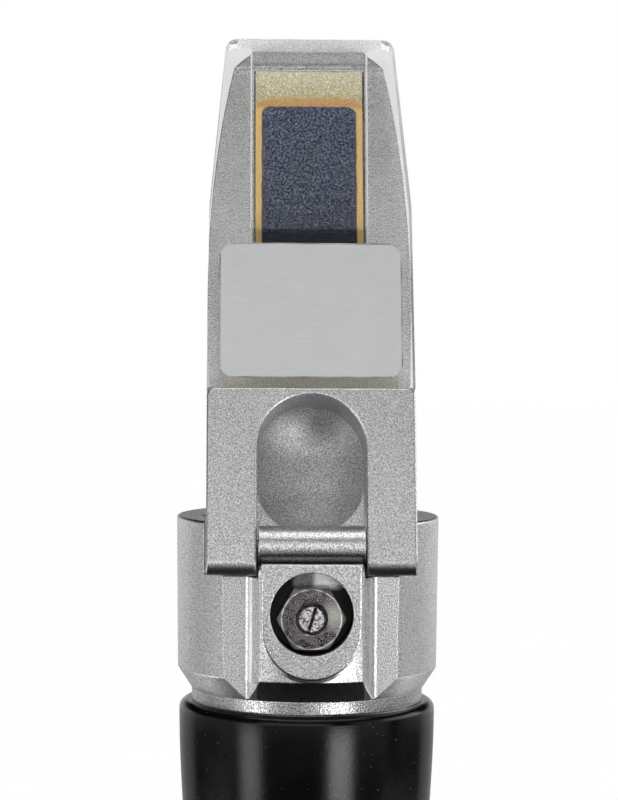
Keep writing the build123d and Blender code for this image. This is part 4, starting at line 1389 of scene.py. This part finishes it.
class DRESS_OT_focus_ring(bpy.types.Operator):
    """Builds the ribbed focus ring and its screws"""

    bl_idname = "dress.focus_ring"
    bl_label = "Build Focus Ring"

    def execute(self, context):
        rubber = context.scene.dresser_rubber
        plastic = moulded_plastic("black_plastic", (0.014, 0.014, 0.0145))
        steel = plated_steel("ring_screw_steel", tuple(context.scene.dresser_metal.steel))
        pattern = round_the_axis()
        pitch = 2 * pi / rubber.ribs
        centre = RING_RADIUS + RIB_GROOVE - rubber.groove / MM
        reach = sqrt(RIB_GROOVE**2 - (centre - RING_RADIUS) ** 2)
        low, high = RING_BOTTOM + RIB_MARGIN + reach, RING_TOP - RIB_MARGIN - reach
        steps = [low - reach + 0.1 * step for step in range(9)]
        heights = steps + [low + 2.0, high - 2.0] + [low + high - z for z in reversed(steps)]

        def radius_at(angle, height):
            past = max(0.0, low - height, height - high)
            left = RIB_GROOVE**2 - (centre * angle) ** 2 - past**2
            return min(RING_RADIUS, centre - sqrt(left)) if left > 0 else RING_RADIUS

        def profile_at(angle):
            side = RING_RADIUS - RING_ROUNDING
            outline = arc((side, RING_BOTTOM + RING_ROUNDING), RING_ROUNDING, -90, 0)
            outline += [(radius_at(angle, height), height) for height in heights]
            outline += arc((side, RING_TOP - RING_ROUNDING), RING_ROUNDING, 0, 90)
            outline += [(RING_BORE, RING_TOP), (RING_BORE, RING_SHELF), (THREAD_BORE, RING_SHELF)]
            outline += [(THREAD_BORE, THREAD_FOOT), (SKIRT_BORE, THREAD_FOOT), (SKIRT_BORE, SKIRT_FOOT)]
            outline += [(BEAD_RADIUS, SKIRT_FOOT), (BEAD_RADIUS, BEAD_TOP), (SKIRT_RADIUS, BEAD_TOP)]
            return outline + [(SKIRT_RADIUS, RING_BOTTOM)]

        # One groove with half a rib on each side, cut finer along the groove's edges
        share = [0.0, 0.1, 0.2, 0.3, 0.38, 0.43, 0.47, 0.5, 0.54, 0.75, 1.0]
        angles = [pitch / 2 * part for part in share]
        angles = [-angle for angle in reversed(angles[1:])] + angles
        wedge = mesh_of("ribbed_ring", lambda shape: skin_round(shape, angles, profile_at, False))
        ring = new_piece("ribbed_ring", wedge, ())
        pattern.applied(ring, {"Count": rubber.ribs, "First Angle": 0.0, "Material": plastic})
        values = {"Count": RING_SCREWS, "First Angle": pitch / 2, "Material": plastic}
        hole = self.screw("ring_holes", RING_RADIUS + 1.0, RING_SCREW_RADIUS + 0.05)
        holes = pattern.applied(hole, values)
        combine(ring, holes, "DIFFERENCE")
        settled(ring)
        smoothed(ring.data)
        bpy.data.objects.remove(holes)
        screw = self.screw("ring_screws", RING_RADIUS - 0.7, RING_SCREW_RADIUS, 0.45)
        screws = pattern.applied(screw, {**values, "Material": steel})
        for piece, slot, node in (
            (ring, "black_plastic", "focus_ring"),
            (screws, "plated_steel", "focus_ring_screws"),
        ):
            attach(piece, "focus_ring")
            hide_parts(node)
        return {"FINISHED"}

    @staticmethod
    def screw(name, end, radius, socket=0.0):
        """One headless screw of the ring, plain or with a hexagon socket."""
        axis = 0.001

        def profile_at(angle):
            outline = [(axis, RING_SCREW_POINT), (radius - 0.15, RING_SCREW_POINT)]
            outline += [(radius, RING_SCREW_POINT + 0.15), (radius, end - 0.12), (radius - 0.12, end)]
            if socket:
                side = socket / cos((angle + pi / 6) % (pi / 3) - pi / 6)
                return outline + [(side, end), (side, end - 0.8), (axis, end - 0.8)]
            return outline + [(0.5 * radius, end), (0.25 * radius, end), (axis, end)]

        mesh = mesh_of(name, lambda shape: skin_round(shape, full_turn(36), profile_at))
        return new_piece(name, laid_down(mesh, RING_SCREW_HEIGHT, "Y"), ())


class DRESS_OT_stage(bpy.types.Operator):
    """Sets the floor, the light and the camera"""

    bl_idname = "dress.stage"
    bl_label = "Build Stage"

    def execute(self, context):
        stage = context.scene.dresser_stage
        build_floor()
        build_world(stage)
        build_camera(stage)
        context.scene.view_settings.view_transform = "Standard"
        context.scene.view_settings.look = "None"
        return {"FINISHED"}


def build_floor():
    """A wide pale floor under the eyecup."""
    shape = bmesh.new()
    corners = box_outline(FLOOR_HALF, -FLOOR_HALF, FLOOR_HALF)
    shape.faces.new([shape.verts.new((x, y, FLOOR_HEIGHT)) for x, y in corners])
    mesh = bpy.data.meshes.new("studio_floor")
    shape.to_mesh(mesh)
    shape.free()
    paint = new_paint("pale_floor")
    cloud = paint.noise(0.05, detail=2.0)
    tone = paint.mixed(cloud, (0.80, 0.80, 0.80), (0.84, 0.84, 0.84))
    white = paint.principled(
        Base_Color=tone, Roughness=0.7, Emission_Color=(1.0, 1.0, 1.0), Emission_Strength=0.62
    )
    floor = new_piece("studio_floor", mesh, (paint.finish(white),))
    floor.visible_glossy = False
    floor.visible_diffuse = False
    floor.visible_shadow = False


class SoftBox(NamedTuple):
    """A patch of the surroundings, in degrees to the right of the front and above level."""

    left: float
    right: float
    low: float
    high: float
    strength: float
    both_sides: bool = False


SOFT_BOXES = (
    # Strips to the left and to the right of the camera
    SoftBox(-63, -45, -20, -8, 5.2),
    SoftBox(-63, -45, -8, 6, 1.3),
    SoftBox(19, 39, -20, -8, 8.9),
    # Front
    SoftBox(-45, 19, -12, 0, 0.3),
    SoftBox(-45, 19, 0, 10, 1.7),
    SoftBox(-45, 19, 10, 30, 1.05),
    # Sides
    SoftBox(39, 75, -12, 30, 0.62),
    SoftBox(-90, -63, -12, 8, 0.5),
    SoftBox(75, 125, -40, -18, 2.15, True),
    SoftBox(90, 125, -9, 8, 0.5, True),
    SoftBox(75, 125, 8, 30, 2.6),
    # Back
    SoftBox(125, 182, -40, -8, 0.41, True),
    SoftBox(125, 182, -8, 12, 0.8, True),
    # Ceiling
    SoftBox(-2, 90, 55, 92, 1.76, True),
    SoftBox(90, 182, 55, 92, 0.12, True),
)


def build_world(stage):
    """A tent of soft boxes round the instrument, on white for the camera."""
    world = bpy.data.worlds.new("studio_world")
    bpy.context.scene.world = world
    paint = Paint(world, "ShaderNodeOutputWorld")
    way = paint.parts(paint.node("ShaderNodeTexCoord")["Generated"])
    side = paint.node("ShaderNodeMath", {"operation": "ARCTAN2"}, {0: way["X"], 1: 0.0 - way["Y"]})[0]
    side = side * degrees(1.0)
    rise = paint.node("ShaderNodeMath", {"operation": "ARCSINE"}, {0: way["Z"]})[0] * degrees(1.0)
    glow = way["Z"] * 0.0
    half = BOX_FADE / 2
    for box in SOFT_BOXES:
        turn = abs(side) if box.both_sides else side
        around = paint.band(turn, box.left + half, box.right - half, BOX_FADE)
        glow = glow + around * paint.band(rise, box.low + half, box.high - half, BOX_FADE) * box.strength
    seen = paint.node("ShaderNodeLightPath")["Is Camera Ray"]
    tent, white = (
        paint.node("ShaderNodeBackground", {}, {"Color": (1.0, 1.0, 1.0), "Strength": strength})[0]
        for strength in (glow * stage.light, 1.0)
    )
    paint.finish(paint.node("ShaderNodeMixShader", {}, {0: seen, 1: tent, 2: white})[0])


def build_camera(stage):
    """The photograph's camera."""
    lens = bpy.data.cameras.new("view_camera")
    lens.sensor_fit = "VERTICAL"
    lens.sensor_height = 24.0
    lens.lens = stage.focal * lens.sensor_height
    camera = bpy.data.objects.new("view_camera", lens)
    turn = Matrix.Rotation(stage.azimuth + CAMERA_TURN, 4, "Z")
    tilt = Matrix.Rotation(radians(90) - stage.pitch, 4, "X")
    roll = Matrix.Rotation(stage.roll, 4, "Z")
    spot = Vector((sin(stage.azimuth), -cos(stage.azimuth), 0.0)) * stage.distance
    spot.z = stage.height
    camera.matrix_world = Matrix.Translation(spot) @ turn @ tilt @ roll
    bpy.context.scene.collection.objects.link(camera)
    bpy.context.scene.camera = camera


class DRESS_PT_panel(bpy.types.Panel):
    """Sizes, colours and steps of the refractometer"""

    bl_idname = "DRESS_PT_panel"
    bl_label = "Refractometer"
    bl_space_type = "VIEW_3D"
    bl_region_type = "UI"
    bl_category = "Refractometer"

    def draw(self, context):
        for name, group in GROUPS.items():
            box = self.layout.box()
            box.label(text=group.__doc__.rstrip("."))
            for prop in group.__annotations__:
                box.prop(getattr(context.scene, name), prop)
        for operator in OPERATORS:
            self.layout.operator(operator.bl_idname)


GROUPS = {
    "dresser_metal": DresserMetal,
    "dresser_clear": DresserClear,
    "dresser_prism": DresserPrism,
    "dresser_rubber": DresserRubber,
    "dresser_stage": DresserStage,
}

OPERATORS = (
    DRESS_OT_stage,
    DRESS_OT_castings,
    DRESS_OT_adjuster,
    DRESS_OT_prism,
    DRESS_OT_clear_plate,
    DRESS_OT_label,
    DRESS_OT_rubber,
    DRESS_OT_focus_ring,
    DRESS_OT_lenses,
)


def register():
    """Adds the classes and the scene's properties."""
    for name, group in GROUPS.items():
        bpy.utils.register_class(group)
        setattr(bpy.types.Scene, name, bpy.props.PointerProperty(type=group))
    for item in (*OPERATORS, DRESS_PT_panel):
        bpy.utils.register_class(item)


def unregister():
    """Removes the classes and the scene's properties."""
    for item in reversed((*OPERATORS, DRESS_PT_panel)):
        bpy.utils.unregister_class(item)
    for name, group in reversed(GROUPS.items()):
        delattr(bpy.types.Scene, name)
        bpy.utils.unregister_class(group)


def main():
    """Dresses the whole instrument."""
    register()
    for operator in OPERATORS:
        group, step = operator.bl_idname.split(".")
        getattr(getattr(bpy.ops, group), step)()


if __name__ == "__main__":
    main()
